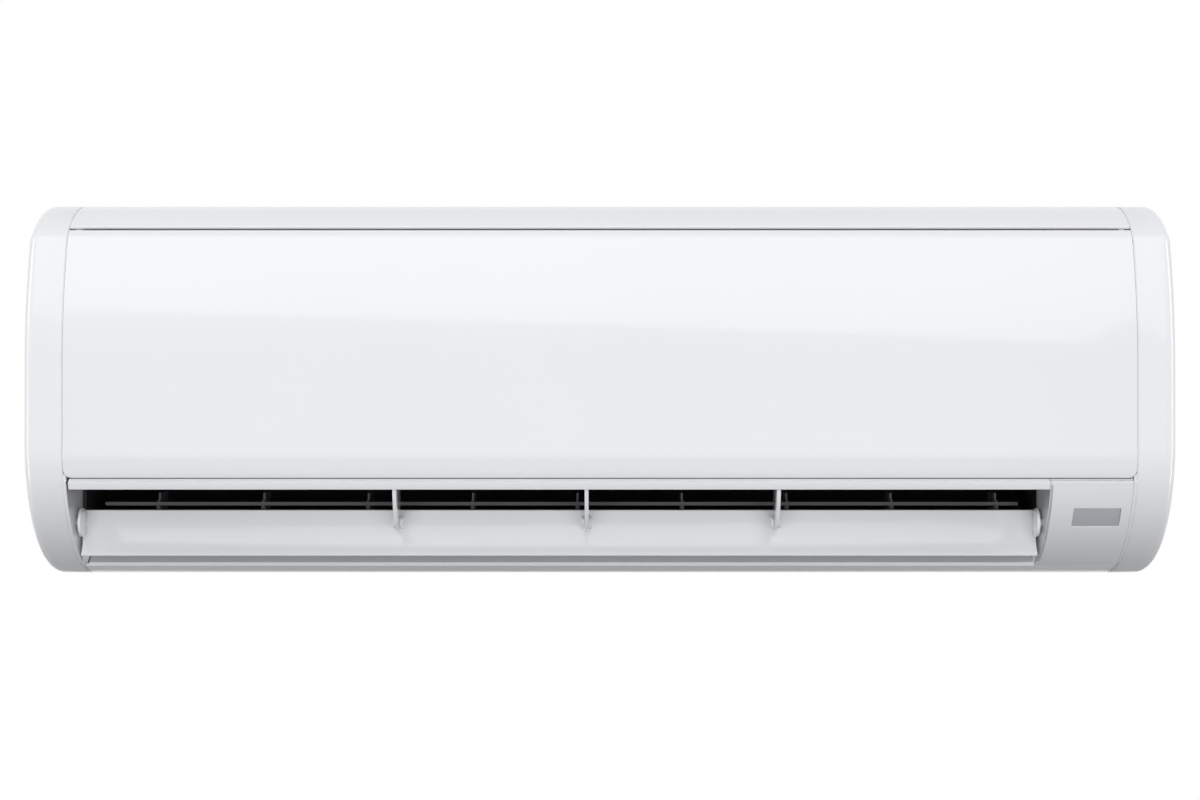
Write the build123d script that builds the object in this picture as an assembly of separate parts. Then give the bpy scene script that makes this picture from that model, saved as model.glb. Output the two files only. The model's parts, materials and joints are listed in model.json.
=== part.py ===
from build123d import *
import math
import os

# Indoor unit of a split air conditioner, in millimetres.
# +X is to the right seen from the front, +Y points to the wall, +Z is up.
# The origin is on the wall face, in the middle of the width and height.

# overall
unit_width = 900.0
unit_height = 300.0
unit_depth = 205.0

# side outline: flat top, shoulder, crease, leaning front, upright front, belly
shoulder_deg = 45.0          # slope of the shoulder below level
front_lean_deg = 18.1        # lean of the upper front from upright
crease_drop = 28.5           # crease below the top
front_break_drop = 80.9      # start of the lean below the top
shoulder_radius = 90.0
crease_radius = 12.0
front_radius = 325.0
belly_radius = 110.0
smallest_radius = 0.5

# walls and clearances
wall = 2.5                   # moulded casing wall
fit_gap = 0.3                # between seated or moving neighbours
pin_clearance = 0.05         # radial, pins and shafts in their bores
over = 1.0                   # how far cutters and joined stubs run past a face

# end caps
cap_width = 30.8
cap_edge_radius = 10.0
cap_rib_depth = 13.0         # inner rib that carries the panel pins
cheek_reach = 60.0           # depth of the outlet cheek behind the front
side_groove = 0.8            # between the front pieces and the end caps

# front panel
panel_top_drop = 23.3        # top edge below the top of the unit
panel_bottom_rise = 81.6     # bottom edge above the bottom of the unit
panel_wall = 3.0
panel_rim_depth = 9.0
panel_rim_top_drop = 33.0    # the side rims stop below the hinge
panel_corner_radius = 6.5
hinge_inset = 24.0           # hinge axis behind the front
hinge_drop = 28.5            # hinge axis below the top
hinge_barrel_radius = 3.0
hinge_barrel_length = 10.0
hinge_pin_radius = 1.5

# top trim and intake grille
trim_bottom_drop = 21.0
trim_back_inset = 84.0
slot_pitch = 12.0
slot_width = 8.0
grille_rows = 3
grille_bar = 7.0             # plain bars between the slot rows
grille_edge = 12.0

# outlet mouth
mouth_top_rise = 72.5        # lower edge of the outlet lip above the bottom
lip_height = 6.6
mouth_right_x = 351.7        # right side of the mouth
lip_back_inset = 67.6        # front edge of the bottom casing
flange_back_inset = 85.0     # the casing's flange over the front of the duct floor
flange_wall = 1.3
flange_lift = 1.1            # over the floor line
web_inset = 14.0             # upright web behind the panel
web_top_rise = 100.0
shelf_wall = 3.0

# display
display_centre_x = 390.15
display_width = 37.3
display_top_rise = 57.5
display_bottom_rise = 42.4
window_recess = 0.6
window_wall = 1.8
board_gap = 6.0              # length of the pegs behind the window
board_height = 20.0
board_margin = 0.4           # board beyond the middle of the pegs
peg_radius = 1.5
peg_root = 0.5               # peg sunk in the skin it stands on
peg_margin = 1.8             # peg beyond the edge of the window
lamp_height = 8.0
lamp_wall = 1.6

# louver
pivot_inset = 42.0
pivot_rise = 45.0
blade_top_inset = 56.0
blade_top_rise = 54.3
blade_bottom_inset = 46.0
blade_bottom_rise = 19.0
blade_radius = 64.0
blade_wall = 2.2
blade_bead_radius = 1.8
ear_radius = 11.5
ear_wall = 2.5
louver_end_gap = 2.7
louver_pin_radius = 3.0
louver_bore_depth = 2.0      # bore for the motor's shaft, into the right ear
rib_wall = 1.8
rib_radius = 4.5
support_pin_radius = 2.2
support_wall = 3.0
support_bottom_rise = 43.0
support_boss_radius = 5.5
support_inset = 1.5          # posts stay this far behind the outline
support_pitch = 150.5
support_middle_x = -10.5
support_count = 3

# vanes
vane_count = 9
vane_first_x = -357.5
vane_pitch = 84.8
vane_wall = 1.6
vane_pivot_inset = 95.0
vane_front_inset = 72.0
vane_back_inset = 104.0
vane_pin_radius = 1.8
vane_pin_length = 5.0
vane_notch_gap = 2.0         # in front of the base strip
vane_floor_gap = 4.6         # a turned vane clears the casing's flange
link_slot = 9.0              # room in front of the link's pins
link_inset = 69.0
link_rise = 58.6
link_section = 5.0
link_wall = 2.8
link_pin_radius = 1.2
link_left_x = -400.0
link_right_x = 338.0
base_front_inset = 87.0
base_back_inset = 101.0
base_top_rise = 38.0

# fan
fan_inset = 117.0
fan_rise = 122.0
fan_radius = 47.0
blade_count = 30
fan_blade_wall = 1.2
fan_blade_depth = 11.0
fan_ring_wall = 2.0
fan_segments = 8
ring_lap = 1.0               # rings reach inside the blades
blade_tip_gap = 0.4          # blades end inside the rings
hub_radius = 9.0
left_hub_length = 12.0
left_bore_depth = 11.0
left_shaft_hold = 10.0
left_shaft_end = 4.0         # beyond the side wall
right_hub_length = 22.0
right_bore_depth = 20.0
right_shaft_hold = 18.0
shaft_radius = 4.0
fan_left_gap = 6.0
fan_right_gap = 8.0
scroll_radius = 60.0
scroll_end_deg = 35.0
bearing_radius = 11.0
bearing_proud = 1.0          # bearing beyond both faces of the side wall
holder_radius = 15.0
holder_flange = 2.0

# fan motor
motor_radius = 42.0
motor_length = 46.0
motor_left_gap = 18.5
motor_round = 3.0
motor_boss_radius = 12.0
motor_boss_length = 4.0
motor_bore_end = 2.0         # bore beyond the motor's body
mount_radius = 17.0
mount_flange = 2.0
mount_flange_wall = 3.0
clamp_wall = 3.0
clamp_width = 18.0
clamp_shift = 8.0            # right of the motor's middle
clamp_pad = 15.0

# coil
coil_thick = 25.0
coil_left_gap = 12.0
coil_right_gap = 20.0
tube_radius = 3.5
tube_bore = 3.1
pipe_wall = 0.8
tube_rows_apart = 12.7
tube_pitch = 21.0
tube_first = 13.0
end_plate_wall = 1.0
end_plate_margin = 2.0
lower_coil_inset = 47.5
lower_coil_rise = 95.0
lower_coil_length = 110.0
upper_coil_inset = 50.0
upper_coil_rise = 216.0
upper_coil_length = 70.0
upper_coil_deg = -40.0
rear_coil_back_gap = 26.8    # foot of the block, from the wall
rear_coil_rise = 199.1       # foot of the block
rear_coil_top_inset = 118.0
rear_coil_top_drop = 34.0    # head of the block, below the top

# drain pan
pan_front_inset = 10.0
trough_front_inset = 28.0
pan_back_inset = 70.0
pan_front_rise = 98.0
spout_radius = 8.0
spout_bore = 6.0
spout_inset = 49.0
spout_length = 9.0
plug_depth = 8.0
plug_flange = 1.0
plug_cap = 2.0
hose_wall = 1.5
hose_run = 18.5
hose_bend = 12.0
hose_tail = 52.0             # last run, from the wall
hose_tail_bend = 40.0
hose_end_gap = 2.0

# pipes
gas_radius = 6.35
liquid_radius = 3.2
gas_bay_gap = 11.5
liquid_bay_gap = 5.5
pipe_back_gap = 27.0         # pipes, from the wall
gas_rise = 46.0
liquid_rise = 21.5
pipe_end_x = 80.0
pipe_bend = 15.0
liquid_dive_run = 50.0       # the liquid pipe dives under the motor
liquid_dive_rise = 25.0
liquid_dive_bend = 20.0
liquid_start_bend = 4.0
foam_gas_radius = 13.0
foam_liquid_radius = 9.5
foam_left_x = 125.0
pipe_clamp_inset = 60.0      # left of the duct's right wall
pipe_clamp_width = 30.0
pipe_clamp_lip = 4.0
gas_nut = 24.0
liquid_nut = 17.0
nut_length = 18.0
gas_thread_radius = 9.5
liquid_thread_radius = 5.55
thread_length = 15.0
thread_round = 1.0

# back and mounting plate
back_gap = 8.0               # room for the mounting plate
back_bottom_rise = 72.0      # lower edge of the back wall, above the pipe channel
rim_gap = 0.5
channel_depth = 57.0
channel_top_rise = 70.0
trough_rise = 178.0
plate_wall = 1.2
plate_width = 760.0
plate_top_drop = 30.0
plate_bottom_rise = 82.0
wall_hole_radius = 2.5
wall_hole_x_pitch = 450.0
wall_hole_z_pitch = 120.0
wall_hole_rise = 170.0
hook_x = 250.0
hook_width = 30.0
hook_rise = 258.0
hook_lip = 9.0
hook_reach = 13.5

# filters
filter_inset = 14.0
filter_wall = 2.5
filter_gap = 3.0
filter_back_inset = 120.0
filter_bar = 4.0
filter_columns = 6
filter_row_pitch = 33.0

# control box
box_front_inset = 24.0
box_back_inset = 72.0
box_bottom_rise = 130.0
box_top_rise = 250.0
box_width = 56.0
box_wall = 2.0
board_wall = 1.6
board_edge_gap = 1.0
board_standoff = 5.0
standoff_radius = 3.0
standoff_y_margin = 10.0
standoff_z_margin = 12.0
standoff_root = 0.5          # sunk in the wall of the box
part_gap = 3.0               # parts from the front and rear edges of the board
relay_height = 18.0          # heights are from the face of the board
relay_width = 14.0
relay_length = 24.0
relay_drop = 6.0             # drops are from the top of the board
small_relay_length = 14.0
small_relay_drop = 38.0
capacitor_radius = 8.0
capacitor_height = 26.0
capacitor_drop = 13.0
small_capacitor_radius = 5.0
small_capacitor_height = 16.0
small_capacitor_drop = 37.0
capacitor_margin = 11.0      # centres from the rear edge
choke_height = 12.0
choke_width = 14.0
choke_length = 20.0
choke_rise = 26.0            # above the foot of the board, over the terminals
terminal_width = 28.0
terminal_depth = 18.0
terminal_height = 20.0
terminal_gap = 4.0
terminal_count = 4
terminal_screw_radius = 2.4
terminal_screw_depth = 4.0

# small pieces
stepper_radius = 12.3
stepper_length = 14.5
stepper_shaft_radius = 2.0
stepper_shaft_tip = 1.5      # shaft inside the louver's ear
stepper_shaft_hold = 5.0     # shaft inside the motor
sensor_radius = 2.5
sensor_length = 12.0
sensor_rise = 12.0           # above the foot of the front coil
button_x = 385.0
button_rise = 93.0
button_radius = 4.0
button_reach = 1.8           # proud of the web
button_stem = 3.0            # behind the web
button_round = 0.8
button_collar = 1.5
catch_x = 250.0
catch_width = 14.0
catch_inset = 5.0
catch_drop = 4.0             # below the top of the web
catch_height = 6.0
catch_round = 1.5
screw_radius = 1.5
screw_head_radius = 3.2
screw_head_height = 1.2
screw_length = 9.0
screw_cross = 4.0
screw_slot = 0.8
screw_first_x = 130.0
screw_last_x = 390.0

# worked out from the sizes above
half_height = unit_height / 2
seam_x = unit_width / 2 - cap_width
cheek_x = seam_x - wall
peg_x = display_width / 2 + peg_margin
casing_x = cheek_x - fit_gap
panel_x = seam_x - side_groove
crease_y = -unit_depth + (front_break_drop - crease_drop) * math.tan(math.radians(front_lean_deg))
lip_top_rise = mouth_top_rise + lip_height
filter_bottom_rise = web_top_rise + fit_gap
hose_bore = spout_radius + pin_clearance
spout_rise = lip_top_rise + hose_bore + hose_wall + 2 * fit_gap
rear_coil_inset = unit_depth - rear_coil_back_gap
rear_coil_run = rear_coil_inset - rear_coil_top_inset
rear_coil_climb = unit_height - rear_coil_top_drop - rear_coil_rise
rear_coil_length = math.hypot(rear_coil_run, rear_coil_climb)
rear_coil_deg = math.degrees(math.atan2(rear_coil_run, rear_coil_climb))
pipe_y = -pipe_back_gap
back_y = -back_gap
duct_left_x = -casing_x + wall
duct_right_x = mouth_right_x + fit_gap
bay_x = duct_right_x + wall
from_base = (Align.CENTER, Align.CENTER, Align.MIN)
to_top = (Align.CENTER, Align.CENTER, Align.MAX)


def deep(inset):
    """Y of a place that lies inset behind the front."""
    return inset - unit_depth


def high(rise):
    """Z of a place that lies rise above the bottom."""
    return rise - half_height


def low(drop):
    """Z of a place that lies drop below the top."""
    return half_height - drop


def fitted_radii(points, radii):
    """Corner radii, the larger of two cut back where the edge between them is too short."""
    runs = [after - before for before, after in zip(points, points[1:])]
    halves = [math.tan(math.radians(a.get_angle(b)) / 2) for a, b in zip(runs, runs[1:])]
    for index in range(len(radii) - 1):
        excess = radii[index] * halves[index] + radii[index + 1] * halves[index + 1] - runs[index + 1].length
        larger = index if radii[index] > radii[index + 1] else index + 1
        if excess > -smallest_radius / 10:
            radii[larger] -= (excess + smallest_radius / 5) / halves[larger]
    return radii


def outline(inset):
    """Side outline moved inwards by inset, closed along the wall."""
    slope = math.radians(shoulder_deg)
    lean = math.radians(front_lean_deg)
    inward = [
        Vector(0, -1),
        Vector(math.sin(slope), -math.cos(slope)),
        Vector(math.cos(lean), -math.sin(lean)),
        Vector(1, 0),
        Vector(0, 1),
    ]
    corners = [
        Vector(crease_y + crease_drop / math.tan(slope), half_height),
        Vector(crease_y, low(crease_drop)),
        Vector(-unit_depth, low(front_break_drop)),
        Vector(-unit_depth, -half_height),
    ]
    radii = [shoulder_radius, crease_radius, front_radius, belly_radius]
    points = [Vector(0, half_height - inset)]
    for corner, before, after in zip(corners, inward, inward[1:]):
        points.append(corner + (before + after) * (inset / (1 + before.dot(after))))
    points.append(Vector(0, inset - half_height))
    radii = fitted_radii(points, [max(radius - inset, smallest_radius) for radius in radii])
    path = FilletPolyline(*points, radius=radii)
    return make_face(path + Line(points[-1], points[0]))


def window(near, far, bottom, top):
    """Rectangle in the side view, between two Y and two Z values."""
    return Pos((near + far) / 2, (bottom + top) / 2) * Rectangle(far - near, top - bottom)


def band(outer, inner, bottom=-unit_height, top=unit_height, near=-unit_depth * 2, far=0.0):
    """Strip of the outline between two insets, kept inside a window."""
    return (outline(outer) - outline(inner)) & window(near, far, bottom, top)


def prism(section, left, right):
    """Side-view section carried from one X to another."""
    return extrude(Plane.YZ.offset(left) * section, right - left)


def rod(radius, left, right, y, z):
    """Round bar along X."""
    return prism(Pos(y, z) * Circle(radius), left, right)


def tube(radius, bore, left, right, y, z):
    """Round bar along X with a bore."""
    return prism(Pos(y, z) * (Circle(radius) - Circle(bore)), left, right)


def block(left, right, near, far, bottom, top):
    """Box between two values on each axis."""
    return prism(window(near, far, bottom, top), left, right)


def flipped(shape):
    """The same piece on the other side of the unit."""
    return mirror(shape, about=Plane.YZ)


hinge_y = deep(hinge_inset)
hinge_z = low(hinge_drop)
pivot_y = deep(pivot_inset)
pivot_z = high(pivot_rise)
fan_y = deep(fan_inset)
fan_z = high(fan_rise)
spout_y = deep(spout_inset)
spout_z = high(spout_rise)
pan_top_z = high(lip_top_rise) - shelf_wall - fit_gap
pan_bottom_z = pan_top_z - wall
bush_radius = louver_pin_radius + wall


# casing
def cap_form(inset):
    """End cap from its seam outwards, rounded at the end."""
    end_x = unit_width / 2 - inset
    body = prism(outline(inset), seam_x, end_x)
    face = body.faces().sort_by(Axis.X)[-1]
    round_edges = face.edges().filter_by(lambda edge: edge.center().Y < -smallest_radius)
    return fillet(round_edges, cap_edge_radius - inset)


def end_cap():
    """Hollow right end cap with its pin rib and its outlet cheek."""
    shell = cap_form(0) - cap_form(wall)
    shell += prism(band(0, cap_rib_depth), seam_x, seam_x + wall)
    cheek = outline(0) & window(-unit_depth, deep(cheek_reach), -half_height, high(lip_top_rise))
    shell += prism(cheek, cheek_x, seam_x)
    pin_hole = rod(hinge_pin_radius + pin_clearance, seam_x - wall, seam_x + 2 * wall, hinge_y, hinge_z)
    return shell - pin_hole


def left_end_cap():
    """The left cheek holds the louver bush."""
    hole = rod(bush_radius, -seam_x - over, -cheek_x + over, pivot_y, pivot_z)
    return flipped(end_cap()) - hole


def front_panel():
    """Curved tray with side and bottom rims and a hinge barrel at each top corner."""
    top = low(panel_top_drop)
    bottom = high(panel_bottom_rise)
    tray = prism(band(0, panel_rim_depth, bottom, top), -panel_x, panel_x)
    hollow = band(panel_wall, panel_rim_depth + over, bottom + panel_wall, top + over)
    tray -= prism(hollow, panel_wall - panel_x, panel_x - panel_wall)
    above = band(panel_wall, panel_rim_depth + over, low(panel_rim_top_drop), top + over)
    tray -= prism(above, -panel_x, panel_x)
    corners = tray.edges().filter_by(Axis.Y, tolerance=1).group_by(Axis.Z)[0]
    tray = fillet(corners.filter_by(lambda edge: abs(edge.center().X) > panel_x - over), panel_corner_radius)
    for side in (-1, 1):
        barrel = rod(hinge_barrel_radius, panel_x - hinge_barrel_length, panel_x, hinge_y, hinge_z)
        pin = rod(hinge_pin_radius, panel_x - over, seam_x + wall, hinge_y, hinge_z)
        arm = barrel + pin
        tray += arm if side > 0 else flipped(arm)
    return tray


def panel_catch():
    """Spring catch on the web behind the bottom of the panel."""
    top = high(web_top_rise) - catch_drop
    half = catch_width / 2
    nose = block(-half, half, deep(catch_inset), deep(web_inset), top - catch_height, top)
    return fillet(nose.edges().filter_by(Axis.X).group_by(Axis.Y)[0], catch_round)


def panel_catches():
    return [Pos(side * catch_x, 0, 0) * panel_catch() for side in (-1, 1)]


def top_trim():
    """Strip over the shoulder, between the panel and the grille."""
    section = band(0, wall, low(trim_bottom_drop), half_height, far=deep(trim_back_inset))
    return prism(section, -panel_x, panel_x)


def screw_places():
    """X of the screws through the back of the grille."""
    return [-screw_last_x, -screw_first_x, screw_first_x, screw_last_x]


def intake_grille():
    """Flat slotted plate on top, behind the trim."""
    near = deep(trim_back_inset)
    far = -rim_gap
    plate = block(-panel_x, panel_x, near, far, half_height - wall, half_height)
    row_depth = (far - near - 2 * grille_edge - (grille_rows - 1) * grille_bar) / grille_rows
    columns = int((2 * panel_x - 2 * grille_edge) / slot_pitch)
    grid = GridLocations(slot_pitch, row_depth + grille_bar, columns, grille_rows)
    slots = Sketch() + [place * Rectangle(slot_width, row_depth) for place in grid]
    cutter = extrude(Pos(0, (near + far) / 2, half_height - 2 * wall) * slots, 3 * wall)
    plate -= cutter
    for x in screw_places():
        plate -= Pos(x, back_y / 2, half_height - wall / 2) * Cylinder(screw_radius + pin_clearance, 2 * wall)
        plate -= Pos(x, back_y / 2, half_height) * Cylinder(
            screw_head_radius + fit_gap, 2 * (screw_head_height + pin_clearance))
    return plate


def casing_screws():
    """Countersunk screws that hold the grille to the rim of the rear casing."""
    screws = []
    for x in screw_places():
        head = Cylinder(screw_head_radius, screw_head_height, align=to_top)
        head -= Box(screw_cross, screw_slot, screw_head_height)
        head -= Box(screw_slot, screw_cross, screw_head_height)
        shank = Cylinder(screw_radius, screw_length, align=to_top)
        shank = Pos(0, 0, screw_slot / 4 - screw_head_height) * shank
        screws.append(Pos(x, back_y / 2, half_height) * (head + shank))
    return screws


def front_web(left, right):
    """Shelf and upright web behind the bottom of the panel."""
    shelf_top = high(lip_top_rise)
    near = deep(web_inset)
    shelf = outline(0) & window(-unit_depth, near + wall, shelf_top - shelf_wall, shelf_top)
    web = window(near, near + wall, shelf_top - shelf_wall, high(web_top_rise))
    return prism(shelf + web, left, right)


def outlet_lip():
    """Strip above the mouth, with its web."""
    right = mouth_right_x - fit_gap
    strip = band(0, wall, high(mouth_top_rise), high(lip_top_rise), far=deep(web_inset))
    return prism(strip, -casing_x, right) + front_web(-casing_x, right)


def display_frame():
    """Plane on the belly at the middle of the display, facing inwards."""
    rise = (display_top_rise + display_bottom_rise) / 2
    turn = math.asin((belly_radius - rise) / belly_radius)
    centre_y = -unit_depth + belly_radius
    centre_z = belly_radius - half_height
    origin = (
        display_centre_x,
        centre_y - belly_radius * math.cos(turn),
        centre_z - belly_radius * math.sin(turn),
    )
    return Plane(origin=origin, x_dir=(1, 0, 0), z_dir=(0, math.cos(turn), math.sin(turn)))


def display_cover():
    """Right part of the lower front, with the right cheek of the mouth."""
    top = high(lip_top_rise)
    skin = band(0, wall, -half_height, top, far=deep(lip_back_inset))
    cover = prism(skin, mouth_right_x, casing_x)
    cheek = outline(0) & window(-unit_depth, deep(cheek_reach), -half_height, top)
    cover += prism(cheek, mouth_right_x, mouth_right_x + wall)
    cover += front_web(mouth_right_x, casing_x)
    left = display_centre_x - display_width / 2
    right = display_centre_x + display_width / 2
    cover -= block(left, right, -unit_depth, pivot_y, high(display_bottom_rise), high(display_top_rise))
    cheek_end = mouth_right_x + wall
    cover -= rod(louver_pin_radius + over, mouth_right_x - over, cheek_end + over, pivot_y, pivot_z)
    z = high(button_rise)
    cover -= Pos(button_x, deep(web_inset), z) * Rot(90, 0, 0) * Cylinder(button_radius + fit_gap, 4 * wall)
    for side in (-1, 1):
        peg = Cylinder(peg_radius, board_gap, align=from_base)
        cover += display_frame() * Pos(side * peg_x, 0, wall - peg_root) * peg
    return cover


def display_window():
    """Tinted window in the display cover."""
    pane = band(
        window_recess,
        window_recess + window_wall,
        high(display_bottom_rise) + fit_gap,
        high(display_top_rise) - fit_gap,
        far=pivot_y,
    )
    half = display_width / 2 - fit_gap
    return prism(pane, display_centre_x - half, display_centre_x + half)


def display_board():
    """Small circuit board with its lamps, on the pegs behind the window."""
    board = Box(2 * (peg_x + board_margin), board_height, board_wall, align=from_base)
    lamps = Pos(0, 0, peg_root - lamp_wall) * Box(display_width / 2, lamp_height, lamp_wall, align=from_base)
    return display_frame() * Pos(0, 0, wall - peg_root + board_gap + pin_clearance) * (board + lamps)


def floor_angle():
    """Angle of the mouth floor, tangent to the scroll behind the fan."""
    run_y = fan_y - deep(lip_back_inset)
    run_z = fan_z - floor_start_z()
    return math.atan2(run_z, run_y) - math.asin(scroll_radius / math.hypot(run_y, run_z))


def floor_start_z():
    """Height of the belly at the lower edge of the mouth."""
    back = belly_radius - lip_back_inset
    return belly_radius - half_height - math.sqrt(belly_radius**2 - back**2)


def floor_z(y):
    """Height of the duct floor under a place."""
    return floor_start_z() + (y - deep(lip_back_inset)) * math.tan(floor_angle())


def bottom_casing():
    """Belly below the mouth, its flange over the duct floor, and the flat underside."""
    near = deep(lip_back_inset) + fit_gap
    far = deep(flange_back_inset)
    skin = band(0, wall, -half_height, high(mouth_top_rise), near=near, far=-rim_gap)
    top_lift = flange_lift + flange_wall
    flange = make_face(Polyline(
        (near, floor_z(near)), (near, floor_z(near) + top_lift), (far, floor_z(far) + top_lift),
        (far, floor_z(far) + flange_lift), (near + wall, floor_z(near + wall) + flange_lift), close=True,
    ))
    return prism(skin, -casing_x, casing_x) + prism(flange, duct_left_x + fit_gap, duct_right_x - fit_gap)


def scroll():
    """Side view of the duct floor, the scroll round the fan and the rear trough."""
    slope = floor_angle()
    start = Vector(deep(lip_back_inset) + fit_gap, floor_start_z())
    touch = Vector(fan_y + scroll_radius * math.sin(slope), fan_z - scroll_radius * math.cos(slope))
    under = Vector(math.sin(slope), -math.cos(slope)) * wall
    near = start + Vector(wall, wall)
    floor = make_face(Polyline(near, touch, touch + under, near + under, close=True))
    end = math.radians(scroll_end_deg)
    reach = 2 * scroll_radius
    sector = make_face(Polyline(
        Vector(fan_y, fan_z),
        Vector(fan_y + reach * math.sin(slope), fan_z - reach * math.cos(slope)),
        Vector(fan_y + reach, fan_z),
        Vector(fan_y + reach * math.cos(end), fan_z + reach * math.sin(end)),
        close=True,
    ))
    ring = Pos(fan_y, fan_z) * (Circle(scroll_radius + wall) - Circle(scroll_radius))
    top_y = fan_y + scroll_radius * math.cos(end)
    top_z = fan_z + scroll_radius * math.sin(end)
    trough_z = high(trough_rise)
    riser = window(top_y, top_y + wall, top_z - over, trough_z + 4 * wall)
    trough = window(top_y, back_y - over, trough_z, trough_z + wall)
    return (floor + (ring & sector) + riser + trough) & outline(wall + fit_gap)


def side_wall():
    """Side view of the walls that close the duct and hold the fan and coil."""
    region = outline(filter_inset + filter_wall + fit_gap)
    region -= window(-unit_depth, deep(cheek_reach) + fit_gap, -half_height, high(lip_top_rise) + fit_gap)
    region -= window(-channel_depth, 0, -half_height, high(channel_top_rise))
    region -= window(back_y - wall / 2, 0, -half_height, half_height)
    region -= window(-unit_depth, 0, -half_height, -half_height + 2 * wall)
    return region


def rear_casing():
    """Chassis: back wall, duct walls, scroll, rear trough and top rim."""
    back_face = back_y - wall
    top = half_height - wall - fit_gap
    body = block(-casing_x, casing_x, back_face, back_y, high(back_bottom_rise), top)
    body += block(-casing_x, casing_x, back_face, -rim_gap, top - wall, top)
    body += prism(scroll(), duct_left_x - wall / 2, duct_right_x + wall / 2)
    body += prism(side_wall(), duct_left_x - wall, duct_left_x)
    body += prism(side_wall(), duct_right_x, duct_right_x + wall)
    body -= rod(holder_radius, duct_left_x - wall - over, duct_left_x + over, fan_y, fan_z)
    body -= rod(mount_radius, duct_right_x - over, bay_x + over, fan_y, fan_z)
    for left in (duct_left_x - wall, duct_right_x):
        body -= rod(spout_radius + fit_gap, left - over, left + wall + over, spout_y, spout_z)
    for radius, centre in ((gas_radius, gas_start()), (liquid_radius, liquid_start())):
        body -= rod(radius + over, duct_right_x - over, bay_x + over, centre.Y, centre.Z)
    for side in (-1, 1):
        left = side * hook_x - hook_width / 2 - fit_gap
        right = side * hook_x + hook_width / 2 + fit_gap
        bottom = high(hook_rise) - hook_lip - over
        top_edge = high(hook_rise) + plate_wall + fit_gap
        body -= block(left, right, back_face - over, back_y + over, bottom, top_edge)
    for x in screw_places():
        body -= Pos(x, back_y / 2, top) * Cylinder(screw_radius + pin_clearance, 4 * wall)
    return body


# louver
def blade_points():
    return (
        Vector(deep(blade_top_inset), high(blade_top_rise)),
        Vector(deep(blade_bottom_inset), high(blade_bottom_rise)),
    )


def blade_middle():
    """Centre of the blade's curve, in front of the chord."""
    top, bottom = blade_points()
    half = (top - bottom) * 0.5
    across = Vector(half.Y, -half.X).normalized()
    if across.X > 0:
        across = across * -1
    return (top + bottom) * 0.5 + across * math.sqrt(blade_radius**2 - half.length**2)


def blade_section():
    """Curved blade with a bead along its lower edge."""
    top, bottom = blade_points()
    centre = blade_middle()
    ring = Pos(centre) * (Circle(blade_radius) - Circle(blade_radius - blade_wall))
    far_top = centre + (top - centre) * 2
    far_bottom = centre + (bottom - centre) * 2
    blade = ring & make_face(Polyline(centre, far_top, far_bottom, close=True))
    bead_at = centre + (bottom - centre) * ((blade_radius - blade_wall / 2) / blade_radius)
    return blade + Pos(bead_at) * Circle(blade_bead_radius)


def support_places():
    """X of the posts that carry the louver between its ends."""
    first = support_middle_x - support_pitch * (support_count - 1) / 2
    return [first + support_pitch * index for index in range(support_count)]


def louver_rib():
    """Side view of the rib that joins the blade to a post pin."""
    centre = blade_middle()
    pivot = Vector(pivot_y, pivot_z)
    to_blade = (pivot - centre).normalized() * (blade_radius - blade_wall / 2) + centre
    reach = to_blade - pivot
    across = Vector(-reach.Y, reach.X).normalized() * rib_radius
    corners = [pivot + across, to_blade + across, to_blade - across, pivot - across]
    return make_face(Polyline(*corners, close=True)) + Pos(pivot) * Circle(rib_radius)


def louver():
    """Curved blade with end ears, end pins and ribs that clip on the posts."""
    left = louver_end_gap - cheek_x
    right = mouth_right_x - louver_end_gap
    body = prism(blade_section(), left, right)
    ear = Pos(pivot_y, pivot_z) * Circle(ear_radius)
    body += prism(ear, left, left + ear_wall)
    body += prism(ear, right - ear_wall, right)
    body += rod(louver_pin_radius, -seam_x, left + over, pivot_y, pivot_z)
    body += rod(louver_pin_radius, right - over, mouth_right_x + wall, pivot_y, pivot_z)
    bore = stepper_shaft_radius + pin_clearance
    body -= rod(bore, right - louver_bore_depth, mouth_right_x + wall + over, pivot_y, pivot_z)
    inner = support_wall / 2 + fit_gap
    for x in support_places():
        for start in (x - inner - rib_wall, x + inner):
            body += prism(louver_rib(), start, start + rib_wall)
        body += rod(support_pin_radius, x - inner - over, x + inner + over, pivot_y, pivot_z)
    return body


def louver_supports():
    """Posts under the drain pan, each with a bore for a louver pin."""
    top = pan_bottom_z
    bottom = high(support_bottom_rise)
    section = outline(support_inset) & window(-unit_depth, pivot_y + rib_radius, bottom, top)
    section -= window(-unit_depth, deep(pan_front_inset), bottom, top)
    section += Pos(pivot_y, pivot_z) * Circle(support_boss_radius)
    section -= Pos(pivot_y, pivot_z) * Circle(support_pin_radius + pin_clearance)
    half = support_wall / 2
    return [prism(section, x - half, x + half) for x in support_places()]


def louver_bush():
    """Bush in the left cheek round the louver's pin."""
    return tube(bush_radius, louver_pin_radius + pin_clearance, -seam_x, -cheek_x, pivot_y, pivot_z)


def louver_motor():
    """Small stepping motor behind the display cover."""
    left = mouth_right_x + wall + fit_gap
    body = rod(stepper_radius, left, left + stepper_length, pivot_y, pivot_z)
    bore = stepper_shaft_radius + pin_clearance
    return body - rod(bore, left - over, left + stepper_shaft_hold + over, pivot_y, pivot_z)


def louver_motor_shaft():
    left = mouth_right_x - louver_end_gap - stepper_shaft_tip
    right = mouth_right_x + wall + fit_gap + stepper_shaft_hold
    return rod(stepper_shaft_radius, left, right, pivot_y, pivot_z)


# vanes
def vane_places():
    return [vane_first_x + vane_pitch * index for index in range(vane_count)]


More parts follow.
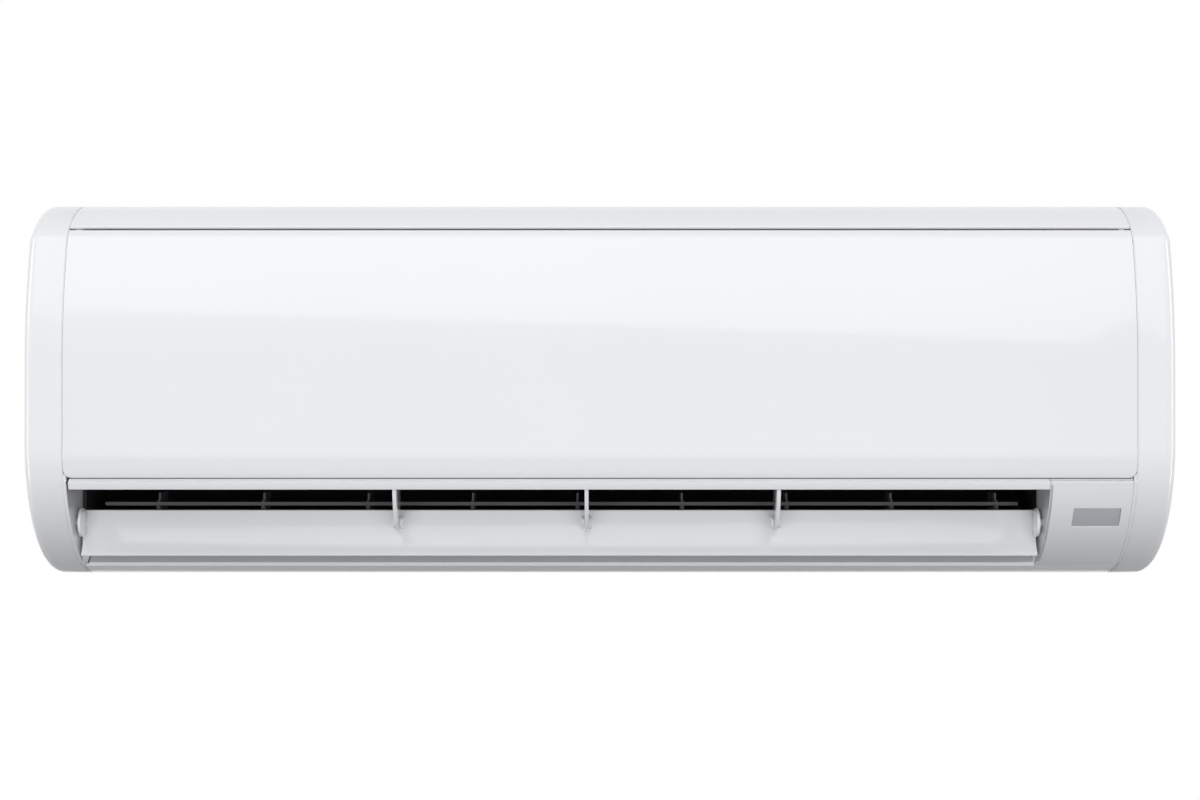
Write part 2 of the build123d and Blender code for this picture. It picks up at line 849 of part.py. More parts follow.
def vane():
    """Upright vane with a foot pin and a link pin, drawn at X 0."""
    front = deep(vane_front_inset)
    back = deep(vane_back_inset)
    top = high(link_rise) + 3 * link_wall
    foot = high(base_top_rise) + fit_gap
    notch = deep(base_front_inset) - vane_notch_gap
    section = make_face(Polyline(
        (front, top), (back, top), (back, foot), (notch, foot),
        (notch, floor_z(notch) + vane_floor_gap), (front, floor_z(front) + vane_floor_gap), close=True,
    ))
    body = prism(section, -vane_wall / 2, vane_wall / 2)
    tab_top = high(link_rise) - link_wall / 2 - fit_gap
    link_y = deep(link_inset)
    body += block(-vane_wall, vane_wall, link_y - link_pin_radius, front + over, tab_top - link_wall, tab_top)
    body -= block(-vane_wall, vane_wall, link_y - link_slot, link_y + link_section, tab_top, top + over)
    pin = Cylinder(link_pin_radius, 2 * link_wall, align=from_base)
    body += Pos(0, link_y, tab_top - over) * pin
    peg = Cylinder(vane_pin_radius, vane_pin_length + over, align=to_top)
    return body + Pos(0, deep(vane_pivot_inset), foot + over) * peg


def vane_link():
    """Bar that joins the front edges of the vanes."""
    places = vane_places()
    y = deep(link_inset)
    z = high(link_rise)
    half = link_section / 2
    bottom = z - link_wall / 2
    bar = block(link_left_x, link_right_x, y - half, y + half, bottom, bottom + link_wall)
    for x in places:
        bar -= Pos(x, y, z) * Cylinder(link_pin_radius + pin_clearance, 2 * link_wall)
    return bar


def vane_base():
    """Strip on the duct floor with a socket under each vane."""
    near = deep(base_front_inset)
    far = deep(base_back_inset)
    top = high(base_top_rise)
    lift = fit_gap / math.cos(floor_angle())
    far_foot = min(floor_z(far) + lift, top - over)
    section = make_face(Polyline(
        (near, top), (far, top), (far, far_foot), (near, floor_z(near) + lift), close=True))
    strip = prism(section, duct_left_x + fit_gap, duct_right_x - fit_gap)
    depth = vane_pin_length + fit_gap
    socket = Cylinder(vane_pin_radius + pin_clearance, 2 * depth)
    for x in vane_places():
        strip -= Pos(x, deep(vane_pivot_inset), top) * socket
    return strip


# fan
fan_left = duct_left_x + fan_left_gap
fan_right = duct_right_x - fan_right_gap
motor_left = bay_x + motor_left_gap
motor_right = motor_left + motor_length


def fan_blade():
    """Side view of one curved blade, at the top of the fan."""
    outer = Circle(fan_blade_depth)
    inner = Circle(fan_blade_depth - fan_blade_wall)
    half = fan_blade_depth / 2
    quarter = Pos(half, half) * Rectangle(fan_blade_depth, fan_blade_depth)
    return Pos(-half, fan_radius - fan_blade_depth - blade_tip_gap) * ((outer - inner) & quarter)


def cross_flow_fan():
    """Drum of curved blades between rings, closed at both ends."""
    blades = Sketch() + [Rot(0, 0, 360 / blade_count * n) * fan_blade() for n in range(blade_count)]
    blades = Pos(fan_y, fan_z) * blades
    length = (fan_right - fan_left - fan_ring_wall) / fan_segments
    ring = Circle(fan_radius) - Circle(fan_radius - fan_blade_depth - ring_lap)
    drum = prism(blades, fan_left, fan_right)
    for n in range(fan_segments + 1):
        left = fan_left + length * n
        section = Circle(fan_radius) if n in (0, fan_segments) else ring
        drum += prism(Pos(fan_y, fan_z) * section, left, left + fan_ring_wall)
    drum += rod(hub_radius, fan_left, fan_left + left_hub_length, fan_y, fan_z)
    drum += rod(hub_radius, fan_right - right_hub_length, fan_right, fan_y, fan_z)
    drum -= rod(shaft_radius, fan_left - over, fan_left + left_bore_depth, fan_y, fan_z)
    bore = shaft_radius + pin_clearance
    return drum - rod(bore, fan_right - right_bore_depth, fan_right + over, fan_y, fan_z)


def fan_shaft():
    """Stub shaft at the left end of the fan."""
    left = duct_left_x - wall - left_shaft_end
    return rod(shaft_radius, left, fan_left + left_shaft_hold, fan_y, fan_z)


def fan_bearing():
    left = duct_left_x - wall - bearing_proud
    right = duct_left_x + bearing_proud
    return tube(bearing_radius, shaft_radius + pin_clearance, left, right, fan_y, fan_z)


def bearing_holder():
    """Rubber ring between the bearing and the side wall."""
    left = duct_left_x - wall
    right = duct_left_x + bearing_proud
    holder = tube(holder_radius, bearing_radius, left, duct_left_x, fan_y, fan_z)
    return holder + tube(holder_radius + holder_flange, bearing_radius, duct_left_x, right, fan_y, fan_z)


def fan_motor():
    """Resin-packed motor with a boss at each end."""
    body = rod(motor_radius, motor_left, motor_right, fan_y, fan_z)
    body = fillet(body.edges().filter_by(GeomType.CIRCLE), motor_round)
    body += rod(motor_boss_radius, duct_right_x, motor_right + motor_boss_length, fan_y, fan_z)
    bore = shaft_radius + pin_clearance
    return body - rod(bore, duct_right_x - over, motor_right + motor_bore_end, fan_y, fan_z)


def motor_shaft():
    return rod(shaft_radius, fan_right - right_shaft_hold, motor_right, fan_y, fan_z)


def motor_mounts():
    """Rubber rings round the motor's bosses."""
    flange_radius = mount_radius + mount_flange
    front = tube(mount_radius, motor_boss_radius, duct_right_x, bay_x, fan_y, fan_z)
    front += tube(flange_radius, motor_boss_radius, bay_x, bay_x + mount_flange_wall, fan_y, fan_z)
    rear = tube(mount_radius, motor_boss_radius, motor_right, motor_right + motor_boss_length, fan_y, fan_z)
    return [front, rear]


def motor_clamp():
    """Band round the motor with a foot on the back wall."""
    left = (motor_left + motor_right - clamp_width) / 2 + clamp_shift
    ring = Pos(fan_y, fan_z) * (Circle(motor_radius + clamp_wall) - Circle(motor_radius))
    face = back_y - wall
    foot = window(fan_y + motor_radius + clamp_wall / 2, face, fan_z - clamp_wall, fan_z + clamp_wall)
    pad = window(face - clamp_wall, face, fan_z - clamp_pad, fan_z + clamp_pad)
    return prism(ring + foot + pad, left, left + clamp_width)


# coil
coil_left = duct_left_x + coil_left_gap
coil_right = duct_right_x - coil_right_gap


def coil_place(inset, rise, turn):
    """Bottom middle of a coil block, turned about X."""
    return Pos(0, deep(inset), high(rise)) * Rot(turn, 0, 0)


lower_place = coil_place(lower_coil_inset, lower_coil_rise, 0)
upper_place = coil_place(upper_coil_inset, upper_coil_rise, upper_coil_deg)
rear_place = coil_place(rear_coil_inset, rear_coil_rise, rear_coil_deg)
coil_blocks = [
    (lower_place, lower_coil_length),
    (upper_place, upper_coil_length),
    (rear_place, rear_coil_length),
]


def tube_heights(length):
    """Places of the hairpins along a coil block."""
    count = int((length - tube_first) / tube_pitch) + 1
    return [tube_first + tube_pitch * index for index in range(count)]


def coil_slab(length, left, right, margin):
    """Block or plate of a coil with its tube holes, upright at the origin."""
    thick = coil_thick + 2 * margin
    section = Pos(0, length / 2) * Rectangle(thick, length + 2 * margin)
    for height in tube_heights(length):
        for side in (-0.5, 0.5):
            section -= Pos(side * tube_rows_apart, height) * Circle(tube_radius + pin_clearance)
    return prism(section, left, right)


def fins(length):
    return coil_slab(length, coil_left, coil_right, 0)


def half_bend(radius):
    """Hollow tube bent through half a turn."""
    outer = Torus(radius, tube_radius, major_angle=180, align=None)
    return outer - Torus(radius, tube_bore, major_angle=180, align=None)


def hairpins(length):
    """Hairpin tubes of one block, bent at the left end."""
    left = coil_left - 2 * end_plate_wall
    right = coil_right + 2 * end_plate_wall
    half = tube_rows_apart / 2
    pins = []
    for height in tube_heights(length):
        legs = tube(tube_radius, tube_bore, left, right, -half, height)
        legs += tube(tube_radius, tube_bore, left, right, half, height)
        pins.append(legs + Pos(left, 0, height) * Rot(0, 0, 90) * half_bend(half))
    return pins


def return_bends(length):
    """Bends at the right end that join one hairpin to the next."""
    heights = tube_heights(length)
    right = coil_right + 2 * end_plate_wall
    bends = []
    for index in range(len(heights) - 1):
        side = 0.5 if index % 2 else -0.5
        middle = heights[index] + tube_pitch / 2
        place = Pos(right, side * tube_rows_apart, middle) * Rot(90, 0, 0) * Rot(0, 0, -90)
        bends.append(place * half_bend(tube_pitch / 2))
    return bends


def coil_tubes():
    """All hairpins and return bends."""
    tubes = []
    for place, length in coil_blocks:
        tubes += [place * piece for piece in hairpins(length) + return_bends(length)]
    return tubes


def end_plate(left, right, tab_left, tab_right):
    """Sheet plate over the ends of the three blocks, with a tab to the side wall."""
    plate = Part()
    for place, length in coil_blocks:
        plate += place * coil_slab(length, left, right, end_plate_margin)
    for place, length in coil_blocks:
        for height in tube_heights(length):
            for side in (-0.5, 0.5):
                y = side * tube_rows_apart
                plate -= place * rod(tube_radius + pin_clearance, left - over, right + over, y, height)
    near = deep(lower_coil_inset) + coil_thick / 2 + end_plate_margin - end_plate_wall
    z = high(lower_coil_rise) + 2 * tube_pitch
    return plate + block(tab_left, tab_right, near, near + end_plate_wall, z, z + tube_pitch)


def coil_end_plates():
    left = coil_left - end_plate_wall
    right = coil_right + end_plate_wall
    return (
        end_plate(left, coil_left, duct_left_x + fit_gap, coil_left).solids()
        + end_plate(coil_right, right, coil_right, duct_right_x - fit_gap).solids()
    )


# drain
def drain_pan():
    """Trough under the front coil, which is also the roof of the mouth."""
    floor = window(deep(pan_front_inset), deep(pan_back_inset), pan_bottom_z, pan_top_z)
    front = deep(trough_front_inset)
    back = deep(pan_back_inset)
    top = high(pan_front_rise)
    front_wall = window(front, front + wall, pan_bottom_z, top)
    back_wall = window(back - wall, back, pan_bottom_z, top)
    left = duct_left_x + fit_gap
    right = duct_right_x - fit_gap
    pan = prism(floor + front_wall + back_wall, left, right)
    ends = window(front, back, pan_bottom_z, top)
    pan += prism(ends, left, left + wall) + prism(ends, right - wall, right)
    for start, end in ((left - spout_length, left + over), (right - over, right + spout_length)):
        pan += rod(spout_radius, start, end, spout_y, spout_z)
    for start, end in ((left - spout_length, left + wall), (right - wall, right + spout_length)):
        pan -= rod(spout_bore, start - over, end + over, spout_y, spout_z)
    return pan


def drain_plug():
    """Rubber plug in the right spout."""
    end = duct_right_x - fit_gap + spout_length
    plug = rod(spout_bore, end - plug_depth, end, spout_y, spout_z)
    return plug + rod(spout_radius + plug_flange, end, end + plug_cap, spout_y, spout_z)


def pipe(points, radius, bend, bore=0.0):
    """Tube along straight runs joined by bends."""
    path = FilletPolyline(*points, radius=bend)
    start = Plane(origin=path @ 0, z_dir=path % 0)
    ring = Circle(radius) - Circle(bore) if bore else Circle(radius)
    return sweep(start * ring, path=path)


hose_start = duct_left_x - wall - 2 * fit_gap
hose_x = duct_left_x - wall - hose_run


def drain_hose():
    """Short hose from the left spout to the pipe channel."""
    points = [
        Vector(hose_start, spout_y, spout_z),
        Vector(hose_x, spout_y, spout_z),
        Vector(hose_x, -hose_tail, high(gas_rise)),
        Vector(hose_x, -hose_end_gap, high(gas_rise)),
    ]
    return pipe(points, hose_bore + hose_wall, [hose_bend, hose_tail_bend], hose_bore)


# pipes
def tube_end(place, side):
    """Right end of the lowest tube of a block."""
    spot = (place * Pos(0, side * tube_rows_apart / 2, tube_first)).position
    return Vector(coil_right + 2 * end_plate_wall, spot.Y, spot.Z)


def gas_start():
    return tube_end(rear_place, 1)


def liquid_start():
    return tube_end(lower_place, 1)


def gas_pipe():
    """Suction pipe from the rear coil down to the channel."""
    start = gas_start()
    x = bay_x + gas_bay_gap
    z = high(gas_rise)
    points = [
        start,
        Vector(x, start.Y, start.Z),
        Vector(x, pipe_y, z),
        Vector(pipe_end_x + nut_length, pipe_y, z),
    ]
    return pipe(points, gas_radius, pipe_bend, gas_radius - pipe_wall)


def liquid_pipe():
    """Thin pipe from the front coil under the motor to the channel."""
    start = liquid_start()
    x = bay_x + liquid_bay_gap
    z = high(liquid_rise)
    points = [
        start,
        Vector(x, start.Y, start.Z),
        Vector(x, start.Y + liquid_dive_run, z + liquid_dive_rise),
        Vector(x, pipe_y, z),
        Vector(pipe_end_x + nut_length, pipe_y, z),
    ]
    bends = [liquid_start_bend, liquid_dive_bend, pipe_bend]
    return pipe(points, liquid_radius, bends, liquid_radius - pipe_wall)


def pipe_insulation():
    """Foam sleeves round both pipes in the channel."""
    right = duct_right_x - 3 * wall
    gas = tube(foam_gas_radius, gas_radius + pin_clearance, foam_left_x, right, pipe_y, high(gas_rise))
    bore = liquid_radius + pin_clearance
    liquid = tube(foam_liquid_radius, bore, foam_left_x, right, pipe_y, high(liquid_rise))
    return [gas, liquid]


def flare_union(width, thread_radius, rise):
    """Hexagon union with its threaded end towards the left."""
    z = high(rise)
    hexagon = Pos(pipe_y, z) * RegularPolygon(width / 2, 6, major_radius=False)
    nut = prism(hexagon, pipe_end_x, pipe_end_x + nut_length)
    thread = rod(thread_radius, pipe_end_x - thread_length, pipe_end_x, pipe_y, z)
    return nut + fillet(thread.edges().filter_by(GeomType.CIRCLE).group_by(Axis.X)[0], thread_round)


def gas_union():
    return flare_union(gas_nut, gas_thread_radius, gas_rise)


def liquid_union():
    return flare_union(liquid_nut, liquid_thread_radius, liquid_rise)


# back
def mounting_plate():
    """Steel plate on the wall, with two hooks and the screw holes."""
    face = -plate_wall
    half = plate_width / 2
    plate = block(-half, half, face, 0, high(plate_bottom_rise), low(plate_top_drop))
    for x, z in wall_holes():
        plate -= Pos(x, 0, z) * Rot(90, 0, 0) * Cylinder(wall_hole_radius, 4 * plate_wall)
    z = high(hook_rise)
    for side in (-1, 1):
        left = side * hook_x - hook_width / 2
        right = left + hook_width
        plate += block(left, right, -hook_reach, face, z, z + plate_wall)
        plate += block(left, right, -hook_reach, plate_wall - hook_reach, z, z + hook_lip)
    return plate


def wall_holes():
    """Places of the four wall screws."""
    z = high(wall_hole_rise)
    return [
        (side * wall_hole_x_pitch / 2, z + up * wall_hole_z_pitch / 2) for side in (-1, 1) for up in (-1, 1)]


def pipe_clamp():
    """Plate under the back wall that keeps the pipes in the channel."""
    left = duct_right_x - pipe_clamp_inset
    right = left + pipe_clamp_width
    floor = -half_height + wall + fit_gap
    plate = block(left, right, back_y - wall, back_y, floor, high(back_bottom_rise) - fit_gap)
    front = pipe_y + foam_gas_radius + pin_clearance
    return plate + block(left, right, front - wall, back_y - wall, floor, floor + pipe_clamp_lip)


# filters
def filter_section():
    top = half_height
    bottom = high(filter_bottom_rise)
    return band(filter_inset, filter_inset + filter_wall, bottom, top, far=deep(filter_back_inset))


def air_filter(left, right):
    """Curved frame with bars and an open mesh field of each bay."""
    sheet = prism(filter_section(), left, right)
    width = (right - left - filter_bar) / filter_columns
    rows = int((unit_height - filter_bottom_rise) / filter_row_pitch)
    far = deep(lower_coil_inset) - coil_thick / 2
    for column in range(filter_columns):
        start = left + filter_bar + width * column
        end = start + width - filter_bar
        for row in range(rows):
            bottom = high(filter_bottom_rise) + filter_bar + filter_row_pitch * row
            sheet -= block(start, end, -unit_depth, far, bottom, bottom + filter_row_pitch - filter_bar)
    return sheet


filter_middle = (duct_left_x + duct_right_x) / 2


def left_filter():
    return air_filter(duct_left_x + fit_gap, filter_middle - filter_gap / 2)


def right_filter():
    return air_filter(filter_middle + filter_gap / 2, duct_right_x - fit_gap)


# electrics
box_left = bay_x + fit_gap
box_right = box_left + box_width


def control_box():
    """Open-sided box beside the motor, with bosses for the main board."""
    near = deep(box_front_inset)
    far = deep(box_back_inset)
    bottom = high(box_bottom_rise)
    top = high(box_top_rise)
    left = box_left + box_wall
    box = block(box_left, box_right, near, far, bottom, top)
    box -= block(left, box_right + over, near + box_wall, far - box_wall, bottom + box_wall, top - box_wall)
    for y in (near + standoff_y_margin, far - standoff_y_margin):
        for z in (bottom + standoff_z_margin, top - standoff_z_margin):
            box += rod(standoff_radius, left - standoff_root, left + board_standoff, y, z)
    return box


def control_lid():
    return block(
        box_right + pin_clearance, box_right + pin_clearance + box_wall,
        deep(box_front_inset), deep(box_back_inset), high(box_bottom_rise), high(box_top_rise))


def main_board():
    """Control board with its relays, capacitors and transformer."""
    left = box_left + box_wall + board_standoff + pin_clearance
    margin = box_wall + board_edge_gap
    near = deep(box_front_inset) + margin
    far = deep(box_back_inset) - margin
    bottom = high(box_bottom_rise) + margin
    top = high(box_top_rise) - margin
    face = left + board_wall
    board = block(left, face, near, far, bottom, top)
    start = near + part_gap
    relays = [(relay_drop, relay_length), (small_relay_drop, small_relay_length)]
    for drop, length in relays:
        board += block(face, face + relay_height, start, start + relay_width, top - drop - length, top - drop)
    capacitors = [
        (capacitor_radius, capacitor_height, capacitor_drop),
        (small_capacitor_radius, small_capacitor_height, small_capacitor_drop),
    ]
    for radius, height, drop in capacitors:
        board += rod(radius, face, face + height, far - capacitor_margin, top - drop)
    end = far - part_gap
    foot = bottom + choke_rise
    return board + block(face, face + choke_height, end - choke_width, end, foot, foot + choke_length)


def terminal_block():
    """Screw terminals on the floor of the control box."""
    near = deep(box_front_inset) + box_wall + terminal_gap
    bottom = high(box_bottom_rise) + box_wall + pin_clearance
    top = bottom + terminal_height
    right = box_right - terminal_gap
    left = right - terminal_width
    body = block(left, right, near, near + terminal_depth, bottom, top)
    pitch = terminal_width / terminal_count
    screw_hole = Cylinder(terminal_screw_radius, 2 * terminal_screw_depth)
    for index in range(terminal_count):
        body -= Pos(left + pitch * (index + 0.5), near + terminal_depth / 2, top) * screw_hole
    return body


def room_sensor():
    """Small air sensor on the side wall beside the coil."""
    left = bay_x + pin_clearance
    y = deep(lower_coil_inset) - coil_thick / 2
    return rod(sensor_radius, left, left + sensor_length, y, high(lower_coil_rise + sensor_rise))


def auto_button():
    """Push button in the web, with a collar behind it."""
    y = deep(web_inset)
    length = button_reach + wall + button_stem
    cap = Cylinder(button_radius, length, align=from_base)
    cap = fillet(cap.edges().filter_by(GeomType.CIRCLE).group_by(Axis.Z)[-1], button_round)
    collar = Cylinder(button_radius + button_collar, button_collar, align=from_base)
    forward = Pos(button_x, y + wall + button_stem, high(button_rise)) * Rot(90, 0, 0)
    return forward * (cap + Pos(0, 0, button_stem - fit_gap - button_collar) * collar)


# write the pieces
def write(name, shape):
    """Save one node: a single solid, or a group of separate solids."""
    if isinstance(shape, (list, ShapeList)):
        shape = Compound(children=list(shape))
    export_step(shape, f"parts/{name}.step")


pieces = {
    "front_panel": front_panel,
    "panel_catches": panel_catches,
    "left_end_cap": left_end_cap,
    "right_end_cap": end_cap,
    "top_trim": top_trim,
    "intake_grille": intake_grille,
    "outlet_lip": outlet_lip,
    "display_cover": display_cover,
    "display_window": display_window,
    "display_board": display_board,
    "bottom_casing": bottom_casing,
    "rear_casing": rear_casing,
    "casing_screws": casing_screws,
    "louver": louver,
    "louver_supports": louver_supports,
    "louver_bush": louver_bush,
    "louver_motor": louver_motor,
    "louver_motor_shaft": louver_motor_shaft,
    "vane_link": vane_link,
    "vane_base": vane_base,
    "cross_flow_fan": cross_flow_fan,
    "fan_shaft": fan_shaft,
    "fan_bearing": fan_bearing,
    "bearing_holder": bearing_holder,
    "fan_motor": fan_motor,
    "motor_shaft": motor_shaft,
    "motor_mounts": motor_mounts,
    "motor_clamp": motor_clamp,
    "coil_tubes": coil_tubes,
    "coil_end_plates": coil_end_plates,
    "drain_pan": drain_pan,
    "drain_plug": drain_plug,
    "drain_hose": drain_hose,
    "gas_pipe": gas_pipe,
    "liquid_pipe": liquid_pipe,
    "pipe_insulation": pipe_insulation,
    "gas_union": gas_union,
    "liquid_union": liquid_union,
    "mounting_plate": mounting_plate,
    "pipe_clamp": pipe_clamp,
    "left_filter": left_filter,
    "right_filter": right_filter,
    "control_box": control_box,
    "control_lid": control_lid,
    "main_board": main_board,
    "terminal_block": terminal_block,
    "room_sensor": room_sensor,
    "auto_button": auto_button,
}

os.makedirs("parts", exist_ok=True)
for name, make in pieces.items():
    write(name, make())
for index, x in enumerate(vane_places()):
    write(f"vane_{index + 1}", Pos(x, 0, 0) * vane())
write("lower_front_fins", lower_place * fins(lower_coil_length))
write("upper_front_fins", upper_place * fins(upper_coil_length))
write("rear_fins", rear_place * fins(rear_coil_length))
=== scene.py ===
import json
import math
import bmesh
import bpy
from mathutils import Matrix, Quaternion, Vector


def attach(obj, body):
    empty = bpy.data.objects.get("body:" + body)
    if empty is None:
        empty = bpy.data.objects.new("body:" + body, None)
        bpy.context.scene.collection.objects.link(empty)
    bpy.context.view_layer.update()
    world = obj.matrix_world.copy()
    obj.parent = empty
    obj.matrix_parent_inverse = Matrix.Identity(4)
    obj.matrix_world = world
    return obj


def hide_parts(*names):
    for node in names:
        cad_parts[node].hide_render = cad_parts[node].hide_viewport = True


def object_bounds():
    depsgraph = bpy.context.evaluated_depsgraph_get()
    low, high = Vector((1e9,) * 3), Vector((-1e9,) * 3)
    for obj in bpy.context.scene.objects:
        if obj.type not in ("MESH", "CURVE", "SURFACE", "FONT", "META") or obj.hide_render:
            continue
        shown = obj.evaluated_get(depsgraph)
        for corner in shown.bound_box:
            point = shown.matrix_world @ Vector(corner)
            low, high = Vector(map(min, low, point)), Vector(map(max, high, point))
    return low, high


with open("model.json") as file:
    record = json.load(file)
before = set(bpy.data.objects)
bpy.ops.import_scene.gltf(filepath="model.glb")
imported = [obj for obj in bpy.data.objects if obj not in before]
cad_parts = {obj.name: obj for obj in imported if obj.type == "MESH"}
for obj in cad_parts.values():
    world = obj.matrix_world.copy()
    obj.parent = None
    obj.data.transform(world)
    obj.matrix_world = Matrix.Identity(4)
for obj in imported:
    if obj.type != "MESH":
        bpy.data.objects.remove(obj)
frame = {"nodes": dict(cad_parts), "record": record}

cadLow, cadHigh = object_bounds()
nodes = frame["nodes"]
halfHeight = (cadHigh[2] - cadLow[2]) / 2
frontY = cadLow[1]
endX = cadHigh[0]
print("frame loaded:", len(nodes), "nodes")

# side outline of the unit, in metres, as drawn from the top of the wall face to its bottom
outline = {
    "shoulderDeg": 45.0,
    "leanDeg": 18.1,
    "creaseDrop": 0.0285,
    "breakDrop": 0.0809,
    "radii": [0.090, 0.012, 0.325, 0.110],
    "stepAngle": math.radians(2.0),
    "prismAngle": math.radians(10),
    "coreDepth": 0.1,
}
bellyRadius = outline["radii"][3]
bellyY = frontY + bellyRadius
bellyZ = bellyRadius - halfHeight
tiny = 1e-5        # places closer than this are one place
touch = 1e-6        # the same for cuts and merges


def same(first, second):
    return abs(first - second) < tiny


def deep(inset):
    return frontY + inset


def high(rise):
    return rise - halfHeight


def low(drop):
    return halfHeight - drop


def outlineCorners(inset, lowBend=None, backY=0.0):
    # corners of the outline before rounding, moved inwards by inset
    slope = math.radians(outline["shoulderDeg"])
    lean = math.radians(outline["leanDeg"])
    creaseY = frontY + (outline["breakDrop"] - outline["creaseDrop"]) * math.tan(lean)
    inward = [
        Vector((0, -1)),
        Vector((math.sin(slope), -math.cos(slope))),
        Vector((math.cos(lean), -math.sin(lean))),
        Vector((1, 0)),
        Vector((0, 1)),
    ]
    corners = [
        Vector((creaseY + outline["creaseDrop"] / math.tan(slope), halfHeight)),
        Vector((creaseY, low(outline["creaseDrop"]))),
        Vector((frontY, low(outline["breakDrop"]))),
        Vector((frontY, -halfHeight)),
    ]
    radii = [radius - inset for radius in outline["radii"]]
    ends = [Vector((backY, halfHeight)), Vector((backY, -halfHeight))]
    if lowBend:        # the panel bends inwards above its lower edge instead of following the belly
        bend = math.radians(lowBend["deg"])
        inward[4] = Vector((math.cos(bend), math.sin(bend)))
        corners[3] = Vector((frontY, high(lowBend["rise"])))
        radii[3] = lowBend["radius"]
        reach = lowBend["rise"] - lowBend["endRise"]
        ends[1] = corners[3] + Vector((reach * math.tan(bend), -reach))
    points = [ends[0] + inward[0] * inset]
    for corner, before, after in zip(corners, inward, inward[1:]):
        points.append(corner + (before + after) * (inset / (1 + before.dot(after))))
    points.append(ends[1] + inward[4] * inset)
    return points, radii


def select(piece, test, mode="VERT"):
    # in edit mode, select what passes the test on its middle
    mesh = bmesh.from_edit_mesh(piece.data)
    bpy.ops.mesh.select_mode(type=mode)
    bpy.ops.mesh.select_all(action="DESELECT")
    items = {"VERT": mesh.verts, "EDGE": mesh.edges, "FACE": mesh.faces}[mode]
    for item in items:
        if mode == "VERT":
            middle = item.co
        elif mode == "EDGE":
            middle = (item.verts[0].co + item.verts[1].co) / 2
        else:
            middle = item.calc_center_median()
        if test(middle, item):
            item.select_set(True)
    mesh.select_flush_mode()
    bmesh.update_edit_mesh(piece.data)


def pick(piece):
    bpy.ops.object.select_all(action="DESELECT")
    piece.select_set(True)
    bpy.context.view_layer.objects.active = piece


def editMode(piece):
    if bpy.context.mode != "OBJECT":
        objectMode()
    pick(piece)
    bpy.ops.object.mode_set(mode="EDIT")
    bpy.ops.mesh.select_all(action="SELECT")


def objectMode():
    bpy.ops.object.mode_set(mode="OBJECT")


def namePiece(name):
    piece = bpy.context.view_layer.objects.active
    piece.name = name
    piece.data.name = name
    return piece


def startEdge(name, left, right, y, z):
    # one edge along X, ready to be swept
    bpy.ops.object.select_all(action="DESELECT")
    bpy.ops.mesh.primitive_plane_add(size=1)
    piece = namePiece(name)
    editMode(piece)
    select(piece, lambda middle, item: middle.y > 0)
    bpy.ops.mesh.delete(type="VERT")
    bpy.ops.mesh.select_all(action="SELECT")
    bpy.ops.transform.resize(value=(right - left, 1, 1), center_override=(0, 0, 0))
    bpy.ops.transform.translate(value=((left + right) / 2, y + 0.5, z))
    return piece


def runTo(here, there):
    step = there - here
    if step.length > touch:
        bpy.ops.mesh.extrude_edges_move(TRANSFORM_OT_translate={"value": (0, step.x, step.y)})
    return there


def turnRound(here, centre, angle, steps):
    # positive angle turns from +Y towards +Z
    bpy.ops.mesh.spin(steps=steps, angle=-angle, center=(0, centre.x, centre.y), axis=(1, 0, 0))
    arm = here - centre
    turned = Vector((
        arm.x * math.cos(angle) - arm.y * math.sin(angle),
        arm.x * math.sin(angle) + arm.y * math.cos(angle),
    ))
    return centre + turned


def sweepCorners(points, radii, stepAngle):
    # straight runs joined by tangent arcs, one radius for each inner point
    here = points[0]
    for before, corner, after, radius in zip(points, points[1:], points[2:], radii):
        inDir = (corner - before).normalized()
        outDir = (after - corner).normalized()
        turn = math.atan2(inDir.cross(outDir), inDir.dot(outDir))
        setBack = radius * math.tan(abs(turn) / 2)
        here = runTo(here, corner - inDir * setBack)
        side = Vector((-inDir.y, inDir.x)) * (1 if turn > 0 else -1)
        centre = here + side * radius
        here = turnRound(here, centre, turn, max(3, int(abs(turn) / stepAngle)))
    return runTo(here, points[-1])


def sweepOutline(name, left, right, inset, lowBend=None, backY=0.0):
    points, radii = outlineCorners(inset, lowBend, backY)
    piece = startEdge(name, left, right, points[0].x, points[0].y)
    sweepCorners(points, radii, outline["stepAngle"])
    return piece


def cut(place, normal, fill=False):
    # drop what lies on the side that normal points to
    bpy.ops.mesh.select_mode(type="VERT")
    bpy.ops.mesh.select_all(action="SELECT")
    bpy.ops.mesh.bisect(plane_co=place, plane_no=normal, clear_outer=True, use_fill=fill, threshold=touch)


def divide(place, normal):
    # a line of new edges across everything
    bpy.ops.mesh.select_all(action="SELECT")
    bpy.ops.mesh.bisect(plane_co=place, plane_no=normal, threshold=touch)


def facesOut(piece, x=0.0):
    # faces of an open sheet point away from the unit's core
    bpy.ops.mesh.select_all(action="SELECT")
    bpy.ops.mesh.normals_make_consistent(inside=False)
    mesh = bmesh.from_edit_mesh(piece.data)
    mesh.faces.ensure_lookup_table()
    largest = max(mesh.faces, key=lambda face: face.calc_area())
    core = Vector((x, deep(outline["coreDepth"]), 0))
    if largest.normal.dot(largest.calc_center_median() - core) < 0:
        bpy.ops.mesh.flip_normals()


def addModifier(piece, kind, **values):
    pick(piece)
    bpy.ops.object.modifier_add(type=kind)
    modifier = piece.modifiers[-1]
    for key, value in values.items():
        setattr(modifier, key, value)
    bpy.ops.object.modifier_apply(modifier=modifier.name)


def smooth(piece, degrees=32):
    pick(piece)
    bpy.ops.object.shade_smooth_by_angle(angle=math.radians(degrees))


def softenEdges(piece, width, segments=2, degrees=40):
    addModifier(piece, "BEVEL", width=width, segments=segments, limit_method="ANGLE",
                angle_limit=math.radians(degrees), use_clamp_overlap=True)
    smooth(piece)


def thicken(piece, wall, edge, segments=3, even=True):
    # a wall behind the sheet, with its edges rounded
    objectMode()
    addModifier(piece, "SOLIDIFY", thickness=wall, offset=-1, use_even_offset=even)
    if edge:
        softenEdges(piece, edge, segments)


